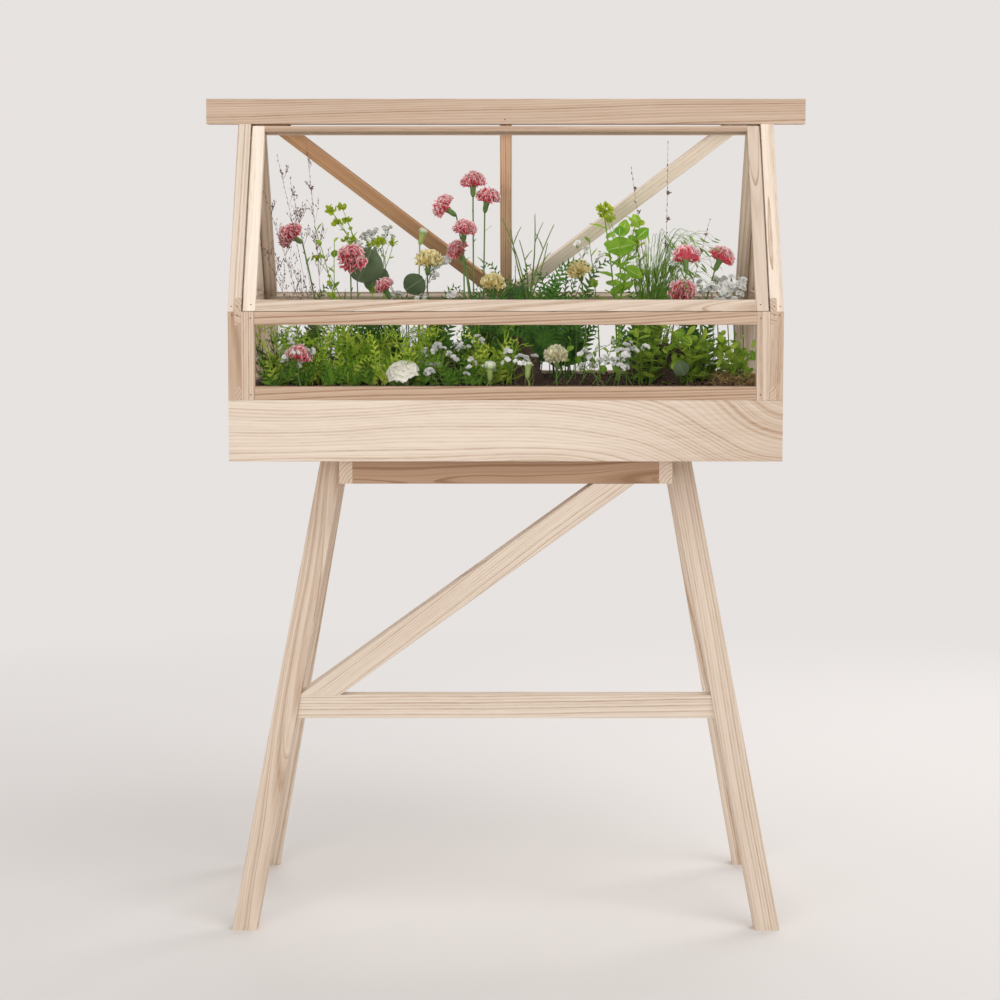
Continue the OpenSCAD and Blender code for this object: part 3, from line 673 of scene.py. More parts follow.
sway = calc(tree, "MULTIPLY", inner["Unevenness"], 0.8)
lean = calc(tree, "MULTIPLY_ADD", uneven(tree, inner, 5), sway, inner["Lean"])
rotation = turned(tree, rotation, (1, 0, 0), lean)
taper = ranged(tree, named(tree, "share"), low=1.0, high=inner["Tip Size"])
size = calc(tree, "MULTIPLY", calc(tree, "MULTIPLY", varied(tree, inner, 7, 1.0), taper), inner["Leaf Size"])
joined = add(tree, "GeometryNodeJoinGeometry")
for part in (repeat(tree, spots.outputs["Points"], piece_of(tree, inner["Leaf"]), rotation, size), tube):
    tree.links.new(part, joined.inputs[0])
close_growth(tree, joined.outputs[0], inner, result)


def stems(name, lines):
    """Polylines of (x, y, z, girth) in metres, as a mesh of edges."""
    vertices, edges = [], []
    for line in lines:
        edges += [(len(vertices) + i, len(vertices) + i + 1) for i in range(len(line) - 1)]
        vertices += line
    made = put_mesh(name, [v[:3] for v in vertices], edges=edges)
    store(made, "girth", [v[3] for v in vertices])
    return made


def bend(start, end, sag, girth, tip_girth, steps=7):
    """A stem from start to end that bows by the vector sag at its middle."""
    a, b, s = Vector(start), Vector(end), Vector(sag)
    line = []
    for i in range(steps + 1):
        t = i / steps
        line.append((*(a.lerp(b, t) + s * math.sin(math.pi * t)), girth + (tip_girth - girth) * t))
    return line


# Carnations
# Cut carnations on knuckled stems: a green calyx holds about thirty frilled
# petals, deep pink with pale rims, soft yellow or cream.
blooms, inner, result = open_group("petals round a bloom", [
    ("Blooms", "Geometry"), ("Petal", "Object"), ("Petals", "Int", 40), ("Inner Lean", "Float", 0.1),
    ("Outer Lean", "Float", 1.3), ("Inner Size", "Float", 0.7), ("Unevenness", "Float", 0.12), ("Seed", "Int", 1),
    ("Finish", "Material")])
tree = blooms
GOLDEN_TURN = math.radians(137.5)
bloom_points = add(tree, "GeometryNodeMeshToPoints", {"Mesh": inner["Blooms"]}).outputs[0]
count = add(tree, "GeometryNodePoints", {"Count": inner["Petals"]}).outputs[0]
index = add(tree, "GeometryNodeInputIndex").outputs[0]
share = calc(tree, "DIVIDE", index, inner["Petals"])
round_turn = varied(tree, inner, 3, calc(tree, "MULTIPLY", index, GOLDEN_TURN))
spiral = add(tree, "FunctionNodeAxisAngleToRotation", {"Axis": (0, 0, 1), "Angle": round_turn}).outputs[0]
opening = varied(tree, inner, 5, ranged(tree, share, low=inner["Inner Lean"], high=inner["Outer Lean"]))
size = calc(tree, "MULTIPLY", ranged(tree, share, low=inner["Inner Size"]), varied(tree, inner, 7, 1.0))
bloom = repeat(tree, count, piece_of(tree, inner["Petal"]), turned(tree, spiral, (1, 0, 0), opening), size)
bloom = add(tree, "GeometryNodeRealizeInstances", {"Geometry": bloom}).outputs[0]
aim = turned(tree, faced(tree), (0, 0, 1), calc(tree, "MULTIPLY", uneven(tree, inner, 9), math.pi))
close_growth(tree, repeat(tree, bloom_points, bloom, aim, named(tree, "size")), inner, result)


def frilled(u, v):
    """A carnation's petal: a narrow claw that opens into a fan with a toothed, rippled rim."""
    width = 0.06 + 0.50 * v ** 1.5
    teeth = 0.07 * math.cos(8 * math.pi * u) * max(0.0, v - 0.75) * 4
    ripple = 0.17 * v ** 3 * math.sin(3.4 * math.pi * u + 1.0) + 0.06 * v ** 4 * math.sin(11 * u)
    length = v * (1.0 - 0.20 * u * u * v) + teeth
    return (u * width, 0.10 * v ** 3 + ripple, length * (1 - 0.06 * v * v))


# The place of each bloom's middle and its radius in millimetres, and where it faces
PINK_BLOOMS = [
    (-345, 20, 1063, 23, (-0.75, -0.55, 0.55)), (-240, -30, 1027, 26, (0.15, -0.8, 0.55)),
    (-192, -35, 984, 17, (-0.35, -0.3, 0.8)), (-52, 2, 1148, 22, (0.0, -0.35, 1.0)),
    (-101, -15, 1107, 22, (-0.75, -0.3, 0.55)), (-28, 22, 1123, 22, (0.2, -0.3, 1.0)),
    (-64, -30, 1074, 20, (0.1, -0.5, 0.9)), (-78, -8, 1040, 19, (-0.4, -0.5, 0.6)),
    (282, -25, 1032, 24, (0.0, 0.35, 1.0)), (342, 0, 1030, 22, (0.45, 0.20, 0.9)),
    (276, -40, 977, 24, (0.1, -0.7, 0.6)), (-314, -146, 884, 22, (0.1, -0.25, 1.0)),
]
YELLOW_BLOOMS = [(-122, 14, 1024, 23, (0.1, -0.35, 1.0)), (-20, -30, 989, 20, (0.0, -0.5, 0.9)),
                 (114, 0, 1008, 20, (-0.2, -0.6, 0.7))]
CREAM_BLOOMS = [(76, -146, 883, 20, (-0.1, -0.5, 0.9))]


def mm(*values):
    """Millimetres as metres."""
    return tuple(value / 1000 for value in values)


def set_out(flower):
    """A bloom's middle, radius and aim, in metres."""
    *middle, r, way = flower
    return Vector(mm(*middle)), r / 1000, Vector(way).normalized()


def bloom_places(name, flowers):
    """Where each bloom's petals spring from, how they face and how long they are."""
    return places(name, [(middle - aim * r * 0.55, aim, r * 1.04) for middle, r, aim in map(set_out, flowers)])


frilled_petal = blade("frilled_petal_template", 8, 12, frilled)
for color, flowers, slot, seed, base, second, rim, start, soft in (
        ("pink", PINK_BLOOMS, "carnation_petals", 2,
         (0.80, 0.050, 0.100), (0.90, 0.180, 0.225), (1.0, 0.84, 0.83), 0.89, 0.09),
        ("yellow", YELLOW_BLOOMS, "white_petals", 8,
         (0.94, 0.76, 0.28), (0.96, 0.87, 0.46), (0.98, 0.94, 0.74), 0.9, 0.15),
        ("cream", CREAM_BLOOMS, "white_petals", 5,
         (0.88, 0.82, 0.50), (0.94, 0.91, 0.68), (0.96, 0.95, 0.82), 0.9, 0.15)):
    petals = plant_material(color + " carnation petals", base, second, edge=rim, edge_start=start, edge_soft=soft,
                            patch=160.0, roughness=0.65, see_through=0.15)
    made = grow(bloom_places(color + "_carnation_blooms", flowers), blooms, slot, petal=frilled_petal, petals=32,
                inner_lean=0.08, outer_lean=1.32, inner_size=1.0, unevenness=0.16, seed=seed, finish=petals)
    if color == "pink":
        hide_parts("carnations")


def flower_stem(flower, chance):
    """A stem that rises from the soil, bows and swells into the calyx under its bloom."""
    middle, r, aim = set_out(flower)
    mouth = middle - aim * r * 0.50
    neck = mouth - aim * 0.019
    foot = Vector((neck.x * 0.97 - aim.x * 0.030, neck.y - aim.y * 0.006, SOIL_TOP - 0.004))
    line = bend(foot, neck, (-aim.x * 0.014 + chance.uniform(-0.005, 0.005), 0.003, 0), 0.0014, 0.0012, 9)
    calyx = [(neck + aim * 0.002, 0.0030), (neck + aim * 0.006, 0.0044), (neck + aim * 0.014, 0.0047),
             (mouth, 0.0060), (mouth + aim * 0.003, 0.0066)]
    return line + [(*point, girth) for point, girth in calyx]


def narrow_leaf(u, v):
    width = 0.10 * math.sin(math.pi * min(1, 0.12 + 0.88 * v)) ** 0.8
    return (u * width, -0.25 * v * v + 0.03 * abs(u), v)


chance = random.Random(21)
grey_green = plant_material("carnation stems", (0.17, 0.30, 0.085), (0.28, 0.42, 0.14), roughness=0.55,
                            rib=(0.35, 0.48, 0.20))
lance_leaf = blade("lance_leaf_template", 5, 2, narrow_leaf)
carnation_lines = [flower_stem(flower, chance) for flower in PINK_BLOOMS + YELLOW_BLOOMS + CREAM_BLOOMS]
grow(stems("carnation_stems", carnation_lines), sprays, "leaves", leaf=lance_leaf, spacing=0.045, leaf_size=0.030,
     lean=0.75, twist=2.6, bare_share=0.12, tip_size=0.4, seed=6, finish=grey_green)


# White flowers
# A ranunculus with a hundred close petals lies at the window, and closed buds
# stand on bare green stems.
def cupped(u, v):
    """A ranunculus petal: a round shell that hugs the petals inside it."""
    width = 0.62 * math.sin(math.pi * min(1.0, 0.06 + 0.66 * v)) ** 0.7
    return (u * width, 0.36 * math.sin(math.pi * v) - 0.30 * u * u * width + 0.16 * v, v * (1 - 0.12 * u * u))


WHITE_BLOOMS = [(-158, -146, 858, 27, (-0.25, -0.45, 0.9))]
BUDS = [(-24, -150, 864, 11.5, (0.0, -0.2, 1.0)), (34, -150, 866, 8.0, (0.05, -0.1, 1.0)),
        (-132, 34, 1066, 8.5, (0.25, -0.25, 1.0))]
cupped_petal = blade("cupped_petal_template", 7, 6, cupped)
# The ranunculus petals darken from a cream rim to their base. This is painted shade between the close petal layers.
white_petals = plant_material("ranunculus petals", (0.66, 0.58, 0.36), (0.80, 0.74, 0.56), roughness=0.6,
                              edge=(0.95, 0.93, 0.86), edge_start=0.70, edge_soft=0.30, patch=120.0, see_through=0.1)
bud_green = plant_material("flower buds", (0.40, 0.56, 0.20), (0.62, 0.72, 0.42), patch=260.0,
                           edge=(0.86, 0.88, 0.74), edge_start=0.7, see_through=0.2)
pale_stem = plant_material("ranunculus stems", (0.48, 0.62, 0.16), (0.62, 0.72, 0.28))
white = grow(bloom_places("white_ranunculus_blooms", WHITE_BLOOMS), blooms, "white_petals", petal=cupped_petal,
             petals=100, inner_lean=-0.25, outer_lean=1.30, inner_size=0.80, unevenness=0.07, seed=3,
             finish=white_petals)
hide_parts("white_flowers")
grow(bloom_places("flower_buds", BUDS), blooms, "leaves", petal=cupped_petal, petals=16, inner_lean=-0.35,
     outer_lean=0.35, inner_size=1.1, seed=4, finish=bud_green)
grow(stems("bud_stems", [flower_stem(flower, chance) for flower in WHITE_BLOOMS + BUDS]), sprays, "leaves",
     leaf=lance_leaf, spacing=0.06, leaf_size=0.016, lean=0.5, bare_share=0.3, seed=2, finish=pale_stem)


# Feathery greens
# Asparagus fern fills the left half of the low window: stems with many fine frondlets, bright where they reach the
# light. The rows behind them are painted dark green as shade near the soil.
def needle(u, v):
    return (u * 0.15 * (1 - v) ** 0.5 + u * 0.02, 0.12 * v * v, v)


needle_leaf = blade("needle_leaf_template", 2, 1, needle)
frondlet = grow(stems("frondlet_template", [bend((0, 0, 0), (0, 0.18, 0.95), (0, -0.08, 0.03), 0.022, 0.008, 3)]),
                sprays, None, leaf=needle_leaf, spacing=0.052, leaf_size=0.26, lean=0.85, twist=math.pi,
                bare_share=0.06, tip_size=0.4, unevenness=0.12, sides=3, seed=1, finish=earth)
templates.append(frondlet)
fern_bright = plant_material("asparagus fern", (0.22, 0.43, 0.012), (0.68, 0.78, 0.11), patch=45.0, see_through=0.4)
# The fern's finish again in a dark green, painted shade for the rows behind.
fern_painted_shade = plant_material("shaded fern", (0.022, 0.070, 0.005), (0.09, 0.19, 0.012), patch=50.0)
feather = dict(leaf=frondlet, spacing=0.0062, leaf_size=0.030, lean=1.0, twist=2.5, bare_share=0.10, tip_size=0.5,
               unevenness=0.35)
ROOT_Z = SOIL_TOP - 0.003
DROOPED, UPRIGHT = 1.9, 1.57


def arching(x, y, reach, turn, rise, girth=0.0010, steps=9):
    """A frond that rises from the soil, then arches outwards along its turn."""
    line = []
    for i in range(steps + 1):
        t = i / steps
        out = reach * t ** 1.3
        line.append((x + out * math.cos(turn), y + out * math.sin(turn),
                     ROOT_Z + rise * math.sin(t * DROOPED) / math.sin(UPRIGHT), girth * (1 - 0.7 * t)))
    return line


def arches(rows, seed, depth=0.45):
    """Arching fronds that spring from (x, y, count, reach, rise) and spread sideways more than in depth."""
    chance = random.Random(seed)
    lines = []
    for x, y, count, reach, rise in rows:
        for _ in range(count):
            turn = chance.uniform(0, math.tau)
            turn = math.atan2(depth * math.sin(turn), math.cos(turn))
            lines.append(arching(x + chance.gauss(0, 0.008), y + chance.gauss(0, 0.006),
                                 reach * chance.uniform(0.3, 1.1), turn, rise * chance.uniform(0.45, 1.08), 0.0009))
    return lines


front_rows = [(-0.352 + 0.036 * i, -0.105 + 0.012 * (i % 3), 9, 0.045, 0.092) for i in range(7)]
front_rows += [(-0.115, -0.085, 7, 0.04, 0.085), (-0.035, -0.100, 9, 0.045, 0.092), (-0.005, -0.090, 7, 0.04, 0.092)]
shade_rows = [(-0.362 + 0.050 * i, -0.068, 8, 0.040, 0.088) for i in range(8)]
grow(stems("asparagus_fern_front", arches(front_rows, 5)), sprays, "leaves", seed=3, finish=fern_bright, **feather)
grow(stems("asparagus_fern_shade", arches(shade_rows, 6)), sprays, "leaves", seed=9, finish=fern_painted_shade, **feather)


# Broad ferns
# Dark leather-leaf fronds, with toothed leaflets in two rows, spread from the
# middle and fill the back corners, and brighter ones stand at the window.
def pinna(u, v):
    lobes = 0.80 + 0.20 * abs(math.sin(7.5 * math.pi * v))
    return (0.04 * abs(u) - 0.10 * v * v, u * (0.24 * (1 - v) ** 0.55 * lobes), v)


pinna_leaf = blade("fern_leaflet_template", 9, 2, pinna)
fern_dark = plant_material("leather fern", (0.032, 0.105, 0.014), (0.090, 0.23, 0.026), rib=(0.16, 0.32, 0.05),
                           patch=40.0, see_through=0.25)
fern_mid = plant_material("window fern", (0.045, 0.150, 0.010), (0.20, 0.38, 0.03), rib=(0.26, 0.42, 0.06), patch=50.0)
fern_rows = [(0.052, 0.010, 13, 0.10, 0.180), (0.015, 0.030, 12, 0.10, 0.175), (-0.030, 0.030, 9, 0.08, 0.150),
             (0.088, 0.040, 11, 0.08, 0.180), (-0.075, -0.062, 7, 0.06, 0.105), (0.025, -0.070, 5, 0.05, 0.095)]
fern_rows += [(-0.325 + 0.106 * i, 0.088, 7, 0.060, 0.140) for i in range(7)]
fern_rows += [(-0.250, 0.040, 6, 0.06, 0.135), (-0.190, 0.050, 6, 0.06, 0.135)]
window_rows = [(-0.345 + 0.052 * i, -0.120, 5, 0.060, 0.086) for i in range(5)] + [(-0.020, -0.110, 6, 0.05, 0.080)]
low_rows = [(-0.350 + 0.045 * i, -0.128, 4, 0.050, 0.052) for i in range(8)]
fern_lines = arches(fern_rows, 9, 0.6)
fern_lines += [arching(0.048, 0.005, 0.082, -0.1, 0.195), arching(0.048, 0.010, 0.070, -2.9, 0.160)]
broad = dict(leaf=pinna_leaf, spacing=0.0042, lean=1.05, twist=math.pi, tip_size=0.18, unevenness=0.10)
fern = grow(stems("leather_fern_fronds", fern_lines), sprays, "leaves", leaf_size=0.027, bare_share=0.25, seed=5,
            finish=fern_dark, **broad)
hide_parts("foliage")
for name, rows, finish in (("window_fern_fronds", window_rows, fern_bright), ("low_fern_fronds", low_rows, fern_mid)):
    grow(stems(name, arches(rows, 27, 0.3)), sprays, "leaves", leaf_size=0.019, bare_share=0.15, seed=7,
         finish=finish, **broad)


# Leafy stems
# Soft oval leaves on green stems: a tall bright one right of the middle, slim
# ones at the left, and a low leafy mass in the right of the window.
def oval(u, v):
    width = 0.34 * math.sin(math.pi * min(1.0, 0.04 + 0.96 * v)) ** 0.75
    return (u * width, -0.16 * v * v + 0.06 * abs(u) + 0.02 * math.sin(9 * v + 2 * u), v)


def flat_leaf(middle, length, roll, lean=0.25):
    """A leaf at a given place, standing up and turned towards the window."""
    turn = Matrix.Rotation(roll, 3, "Y") @ Matrix.Rotation(lean, 3, "X")
    stalk = Vector(middle) - turn @ Vector((0, 0, 0.5 * length))
    return stalk, turn @ Vector((0, 0, 1)), length


def rising(x, y, *rest):
    """A stem that bends from its root in the soil to a tip."""
    return bend((x, y, ROOT_Z), *rest)


oval_leaf = blade("oval_leaf_template", 6, 4, oval)
leaf_bright = plant_material("bright leaves", (0.16, 0.38, 0.020), (0.40, 0.60, 0.06), rib=(0.56, 0.74, 0.24),
                             patch=40.0, see_through=0.45)
leaf_mid = plant_material("mid green leaves", (0.14, 0.30, 0.012), (0.48, 0.62, 0.06), rib=(0.50, 0.62, 0.18),
                          patch=45.0)
bright_lines = [
    rising(0.176, -0.018, (0.154, 0.012, 1.100), (0.006, 0.0, 0), 0.0016, 0.0010),
    rising(0.178, -0.014, (0.205, 0.006, 1.082), (-0.010, 0.0, 0.004), 0.0016, 0.0009),
    rising(0.174, -0.022, (0.178, -0.030, 1.060), (0.004, 0.0, 0), 0.0015, 0.0009),
]
bright_spots = [
    ((0.182, -0.012, 1.043), 0.050, 1.3), ((0.186, -0.004, 1.072), 0.030, 0.3), ((0.205, 0.002, 1.083), 0.026, -0.5),
    ((0.215, -0.002, 1.063), 0.028, 0.9), ((0.202, -0.008, 1.002), 0.034, 2.0),
]
slim_lines = [
    rising(-0.262, 0.012, (-0.300, 0.016, 1.066), (0.010, 0, 0.002), 0.0011, 0.0006),
    rising(-0.258, 0.016, (-0.272, 0.020, 1.050), (-0.006, 0, 0.002), 0.0011, 0.0006),
    rising(-0.222, 0.026, (-0.218, 0.028, 1.036), (0.008, 0, 0.002), 0.0011, 0.0006),
    rising(0.150, 0.020, (0.132, 0.024, 1.050), (0.004, 0, 0.002), 0.0012, 0.0006),
    rising(0.202, 0.012, (0.212, 0.016, 1.020), (0.004, 0, 0.002), 0.0012, 0.0006),
]
leafy_rows = [(0.212 + 0.025 * i, -0.100 + 0.018 * (i % 3), 9, 0.035, 0.092 - 0.004 * i) for i in range(7)]
leafy_rows.append((-0.345, -0.135, 3, 0.02, 0.05))
sprig_lines = [bend((0.105, -0.110, 0.872), (0.186, -0.104, 0.912), (0, 0, -0.006), 0.0007, 0.0004)]
sprig_lines += [rising(0.07 + 0.02 * i, -0.10, (0.10 + 0.022 * i, -0.095, 0.90), (0.006, 0, 0), 0.0007, 0.0004)
                for i in range(5)]
grow(stems("bright_leafy_stems", bright_lines), sprays, "leaves", leaf=oval_leaf, spacing=0.015, leaf_size=0.048,
     lean=1.0, bare_share=0.50, tip_size=0.45, unevenness=0.25, seed=12, finish=leaf_bright)
grow(places("broad_bright_leaves", [flat_leaf(*spot) for spot in bright_spots]), scatter, "leaves", piece=oval_leaf,
     spin=0.4, finish=leaf_bright)
grow(stems("slim_leafy_stems", slim_lines), sprays, "leaves", leaf=oval_leaf, spacing=0.021, leaf_size=0.024,
     lean=0.75, twist=2.2, bare_share=0.45, unevenness=0.3, seed=14, finish=leaf_mid)
grow(stems("low_leafy_mass", arches(leafy_rows, 15)), sprays, "leaves", leaf=oval_leaf, spacing=0.0085,
     leaf_size=0.023, lean=1.1, bare_share=0.12, tip_size=0.7, unevenness=0.4, seed=6, finish=leaf_mid)
grow(stems("light_sprigs", sprig_lines), sprays, "leaves", leaf=oval_leaf, spacing=0.013, leaf_size=0.017,
     bare_share=0.35, tip_size=0.7, unevenness=0.3, seed=17, finish=leaf_bright)


# Eucalyptus leaves
# A few big round blue-green leaves stand behind the flowers.
def disc_leaf(u, v):
    width = 0.52 * math.sin(math.pi * min(1.0, 0.03 + 0.95 * v)) ** 0.55
    return (u * width, 0.05 * u * u - 0.04 * math.sin(math.pi * v), v)


round_leaf = blade("round_leaf_template", 8, 6, disc_leaf)
gum_green = plant_material("eucalyptus leaves", (0.085, 0.125, 0.062), (0.135, 0.185, 0.095), rib=(0.19, 0.24, 0.13),
                           see_through=0.15, roughness=0.6, patch=50.0)
leaf_spots = [
    ((-0.223, 0.000, 1.013), 0.058, 0.45), ((-0.206, 0.022, 0.990), 0.044, 0.7), ((-0.146, 0.030, 0.982), 0.036, 1.0),
    ((0.020, 0.040, 0.960), 0.040, -0.5), ((0.269, -0.128, 0.858), 0.024, -0.4),
]
grow(places("eucalyptus_leaves", [flat_leaf(*spot) for spot in leaf_spots]), scatter, "leaves", piece=round_leaf,
     spin=0.0, finish=gum_green)


# Yellow-green umbels
# Spurge: flat clusters of small round bracts at the tips of forked stems.
def cup(u, v):
    return (u * 0.5 * math.sin(math.pi * min(1.0, 0.05 + 0.9 * v)) ** 0.6, 0.22 * u * u + 0.1 * v, v)


bract = blade("bract_template", 5, 4, cup)
lime = plant_material("spurge bracts", (0.36, 0.48, 0.022), (0.52, 0.60, 0.06), patch=220.0, see_through=0.45)
BRACTS_EACH = 12
UMBELS = [mm(*spot) for spot in (
    (-277, 24, 1098), (-260, 26, 1103), (-252, 26, 1082), (-266, 26, 1078), (-255, 24, 1051), (-244, 26, 1050),
    (-300, 22, 1023), (-212, 30, 1045), (-198, 30, 1048), (-180, 32, 1046), (205, 10, 1078), (214, 12, 1062),
    (152, 10, 1100), (207, 16, 1044), (164, 4, 1084))]
rows = [((x + chance.uniform(-0.006, 0.006), y + chance.uniform(-0.005, 0.005), z + chance.uniform(-0.004, 0.004)),
         (chance.uniform(-1, 1), chance.uniform(-1, 0.4), chance.uniform(0.1, 1.0)), chance.uniform(0.005, 0.009))
        for x, y, z in UMBELS for _ in range(BRACTS_EACH)]
UMBEL_BALL, BALL_BRACTS = Vector((0.154, 0.016, 1.100)), 34
for _ in range(BALL_BRACTS):
    way = Vector((chance.gauss(0, 1), chance.gauss(0, 1), chance.gauss(0.2, 1))).normalized()
    rows.append((UMBEL_BALL + way * chance.uniform(0.004, 0.009), way, chance.uniform(0.004, 0.009)))
grow(places("spurge_bracts", rows), scatter, "leaves", piece=bract, unevenness=0.2, tumble=0.4, seed=3, finish=lime)
fork_lines = []
for fork, tips in (((-0.238, 0.022, 1.030), UMBELS[:6]), ((-0.262, 0.014, 0.96), UMBELS[6:7]),
                   ((-0.196, 0.028, 1.000), UMBELS[7:10]), ((0.180, 0.0, 1.010), UMBELS[10:])):
    fork_lines.append(rising(*fork[:2], fork, (0.003, 0, 0), 0.0011, 0.0009))
    fork_lines += [bend(fork, tip, (0.003, 0, 0.002), 0.0007, 0.0005, 4) for tip in tips]
grow(stems("spurge_stems", fork_lines), sprays, "leaves", leaf=oval_leaf, spacing=0.03, leaf_size=0.012,
     bare_share=0.5, seed=4, finish=leaf_bright)


# Feathery grass
# Panic grass: hair-thin purple-brown stems branch again and again and carry
# tiny spikelets.
def panicle(foot, top, branches, reach, start, seed, girth=0.00042):
    """A main stem and its side branches, all curved a little, from places and a reach in millimetres."""
    chance = random.Random(seed)
    main = rising(*mm(*foot), mm(*top), (0.004, 0.002, 0), girth, girth * 0.4, 9)
    lines = [main]
    for _ in range(branches):
        t = chance.uniform(start, 0.97)
        at = main[min(8, int(t * 9))][:3]
        a = chance.uniform(0, math.tau)
        out = reach / 1000 * chance.uniform(0.5, 1.0) * (1.2 - t)
        rise = out * chance.uniform(1.1, 1.9)
        tip = (at[0] + 0.6 * out * math.cos(a), at[1] + 0.3 * out * math.sin(a), at[2] + rise)
        twig = bend(at, tip, (0.002, 0, 0.002), girth * 0.45, girth * 0.3, 4)
        lines.append(twig)
        for k in (2, 3):
            side = out * 0.45 * chance.uniform(0.5, 1.0)
            a = chance.uniform(0, math.tau)
            end = (twig[k][0] + 0.5 * side * math.cos(a), twig[k][1] + 0.3 * side * math.sin(a), twig[k][2] + side)
            lines.append(bend(twig[k][:3], end, (0.001, 0, 0), girth * 0.35, girth * 0.3, 2))
    return lines


# Each panicle's foot and top in millimetres, its branches, how many millimetres they reach and where they start
PANICLES = [
    ((-288, 10), (-316, 26, 1206), 26, 50, 0.5), ((-290, 6), (-342, 24, 1150), 16, 50, 0.6),
    ((-292, 4), (-360, 0, 1186), 14, 52, 0.62), ((-294, -10), (-380, -12, 1128), 16, 52, 0.6),
    ((-296, -14), (-386, -8, 1045), 22, 60, 0.5), ((-286, -18), (-335, -20, 1010), 22, 55, 0.5),
    ((242, 22), (256, 22, 1206), 16, 11, 0.55), ((236, 18), (198, 20, 1166), 6, 18, 0.85),
    ((246, 12), (322, 10, 1085), 6, 18, 0.85),
]
spikelet = lathe("spikelet_template", [(0.06, 0.0), (0.24, 0.35), (0.20, 0.75), (0.03, 1.25)], sides=4)
grass_purple = plant_material("panic grass", (0.15, 0.070, 0.070), (0.30, 0.18, 0.13), patch=160.0, see_through=0.1)
panicle_lines = [line for number, row in enumerate(PANICLES) for line in panicle(*row, seed=number + 1)]
tall = grow(stems("panic_grass", panicle_lines), sprays, "grass", leaf=spikelet, spacing=0.0085, leaf_size=0.0030,
            lean=0.45, bare_share=0.55, tip_size=1.0, unevenness=0.4, seed=8, finish=grass_purple)
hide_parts("tall_stems")

# Fine grass
# A tuft of fine sedge stands in the right half and arches over the carnations,
# and a few rush stems fork behind the middle.
sedge_green = plant_material("sedge", (0.13, 0.28, 0.030), (0.34, 0.50, 0.10), patch=60.0, see_through=0.2)
rush_green = plant_material("rush", (0.095, 0.17, 0.035), (0.20, 0.29, 0.07), patch=90.0, see_through=0.1)
chance = random.Random(31)
sedge_lines, SEDGE_BLADES = [], 150
for i in range(SEDGE_BLADES):
    turn = chance.gauss(0.0, 0.55) if i % 3 else chance.gauss(math.pi, 0.8)
    reach = chance.uniform(0.02, 0.11) if i % 3 else chance.uniform(0.01, 0.045)
    sedge_lines.append(arching(0.228 + chance.gauss(0, 0.007), 0.022 + chance.gauss(0, 0.006), reach, turn,
                               chance.uniform(0.15, 0.245), girth=0.00065, steps=10))
grow(stems("sedge_tuft", sedge_lines), sprays, "grass", leaf=lance_leaf, spacing=0.07, leaf_size=0.024, lean=0.25,
     bare_share=0.3, seed=2, finish=sedge_green)
RUSH_X, RUSH_Y = 0.036, 0.034
rush_lines = [rising(RUSH_X, RUSH_Y, (RUSH_X, RUSH_Y, SOIL_TOP + 0.125), (0, 0, 0), 0.0016, 0.0014)]
for x, z, side in ((-0.006, 1.086, 1), (0.008, 1.066, -1), (0.022, 1.050, 1), (0.046, 1.092, 1), (0.076, 1.076, -1),
                   (0.066, 1.046, 1)):
    twig = bend((RUSH_X, RUSH_Y, SOIL_TOP + 0.12), (x, 0.036, z), (0.004 * side, 0, 0.004), 0.0015, 0.0007, 6)
    end = (twig[4][0] + 0.012 * side, 0.036, z - 0.014)
    rush_lines += [twig, bend(twig[4][:3], end, (0, 0, 0.002), 0.0009, 0.0005, 3)]
grow(stems("rush_stems", rush_lines), sprays, "grass", leaf=needle_leaf, spacing=0.016, leaf_size=0.007, lean=0.3,
     bare_share=0.3, seed=2, finish=rush_green)


# Baby's breath
# Clouds of tiny double white flowers on wiry stems that fork again and again.
def branching(foot, size, levels, chance, lines, tips, girth=0.0007, way=(0, 0, 1)):
    """A stem that forks until its twigs end in flowers, which are larger at the far right."""
    lean = Vector(way) + Vector((chance.uniform(-0.8, 0.8), chance.uniform(-0.45, 0.45), chance.uniform(-0.25, 0.2)))
    tip = Vector(foot) + lean.normalized() * size * chance.uniform(0.45, 1.35)
    lines.append(bend(foot, tip, (chance.uniform(-0.002, 0.002), 0, 0), girth, girth * 0.7, 3))
    if levels == 0 or (levels == 1 and chance.random() < 0.35):
        tips.append((tip, lean.normalized(), chance.uniform(0.8, 1.2) * (1.0 if foot[0] < FAR_RIGHT_X else 1.3)))
        return
    for _ in range(chance.choice((2, 3))):
        branching(tip, size * 0.68, levels - 1, chance, lines, tips, girth * 0.7, lean)


def puff(u, v):
    width = 0.80 * math.sin(math.pi * (0.10 + 0.60 * v))
    return (u * width, 0.30 * math.sin(math.pi * v) - 0.25 * u * u * width, v * (1 - 0.12 * u * u))


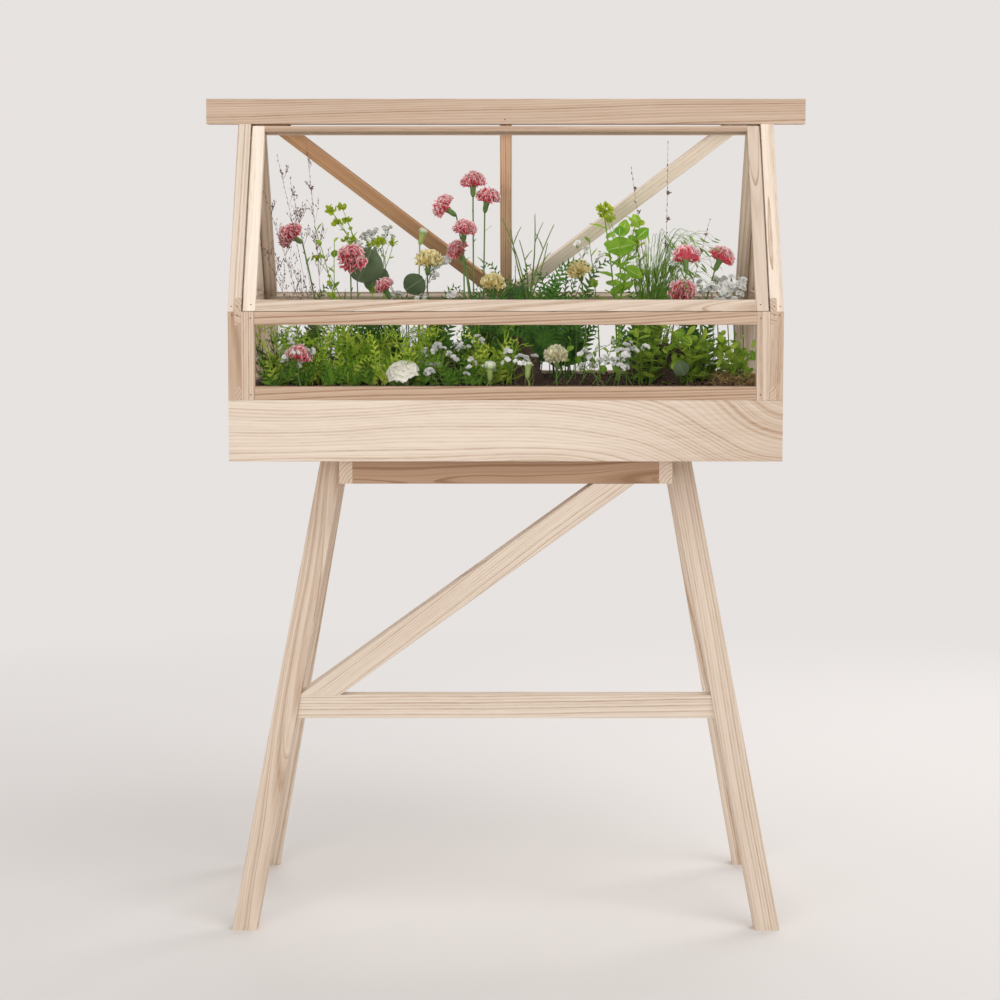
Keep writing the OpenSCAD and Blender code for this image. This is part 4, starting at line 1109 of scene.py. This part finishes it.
# Each cloud's foot and the length of its first fork in millimetres, and how often it forks
CLOUDS = [
    (-354, -148, 832, 30, 3), (-368, -140, 832, 28, 2), (-112, -142, 832, 30, 3), (-92, -146, 832, 26, 3),
    (-70, -138, 832, 22, 3), (-50, -145, 832, 20, 2), (-85, -120, 832, 34, 3), (-100, -150, 832, 16, 3),
    (-60, -150, 832, 14, 3), (-350, -150, 832, 20, 3), (170, -150, 832, 14, 3), (150, -148, 832, 20, 3),
    (195, -125, 832, 28, 3), (30, -140, 832, 22, 3), (16, -140, 832, 28, 2), (40, -130, 832, 26, 2),
    (142, -140, 832, 22, 3), (165, -135, 832, 30, 3), (185, -130, 832, 24, 3), (-160, 36, 940, 48, 4),
    (-172, 40, 960, 38, 4), (-140, 44, 950, 36, 4), (110, 30, 960, 34, 3), (125, 26, 960, 30, 2),
    (310, 4, 930, 30, 3), (335, 10, 930, 34, 3), (360, 4, 930, 30, 3), (350, -10, 920, 26, 3),
    (325, -20, 930, 30, 3), (372, -20, 925, 24, 3), (-155, 0, 930, 20, 3), (-120, 4, 930, 20, 3),
    (-60, 6, 930, 18, 3),
]
ABOVE_SOIL, FAR_RIGHT_X = 0.9, 0.28
FLOWER_SIZE = 0.0042
puff_petal = blade("puff_petal_template", 3, 2, puff)
puff_white = plant_material("small white flowers", (0.93, 0.92, 0.89), (0.97, 0.97, 0.95), patch=300.0,
                            see_through=0.1)
chance = random.Random(77)
wiry_lines, tips = [], []
for *values, levels in CLOUDS:
    x, y, z, size = mm(*values)
    if z > ABOVE_SOIL:
        wiry_lines.append(rising(x, y, (x, y, z), (0.002, 0, 0), 0.0009, 0.0008, 4))
    branching((x, y, z), size, levels, chance, wiry_lines, tips)
grow(places("babys_breath_flowers", [(tip, way, FLOWER_SIZE * size) for tip, way, size in tips]), blooms,
     "white_petals", petal=puff_petal, petals=18, inner_lean=-0.30, outer_lean=1.3, inner_size=0.8, seed=9,
     finish=puff_white)
grow(stems("babys_breath_stems", wiry_lines), sprays, "leaves", leaf=needle_leaf, spacing=0.02, leaf_size=0.007,
     lean=0.5, bare_share=0.4, seed=5, finish=rush_green)

# Dry moss
# A brown and yellow tangle of dry moss lies in the right corner.
MOSS_STRANDS, MOSS_DEPTH, STRAND_LENGTH = 230, 0.016, 0.016
moss_lines = []
for _ in range(MOSS_STRANDS):
    x, y = chance.uniform(0.318, 0.388), chance.uniform(-0.165, -0.06)
    at = Vector((x, y, SOIL_TOP + chance.uniform(0, MOSS_DEPTH)))
    side = Vector((chance.uniform(-1, 1), chance.uniform(-0.7, 0.7), chance.uniform(-0.3, 0.6))) * STRAND_LENGTH
    moss_lines.append(bend(at, at + side, (0, 0.003, chance.uniform(0.002, 0.007)), 0.0005, 0.0003, 4))
moss_brown = plant_material("dry moss", (0.17, 0.095, 0.045), (0.48, 0.34, 0.12), patch=180.0, see_through=0.1)
grow(stems("dry_moss", moss_lines), sprays, "soil", leaf=needle_leaf, spacing=0.003, leaf_size=0.0042, lean=0.9,
     bare_share=0.0, unevenness=0.4, seed=3, finish=moss_brown)

for done in templates:
    bpy.data.objects.remove(done)
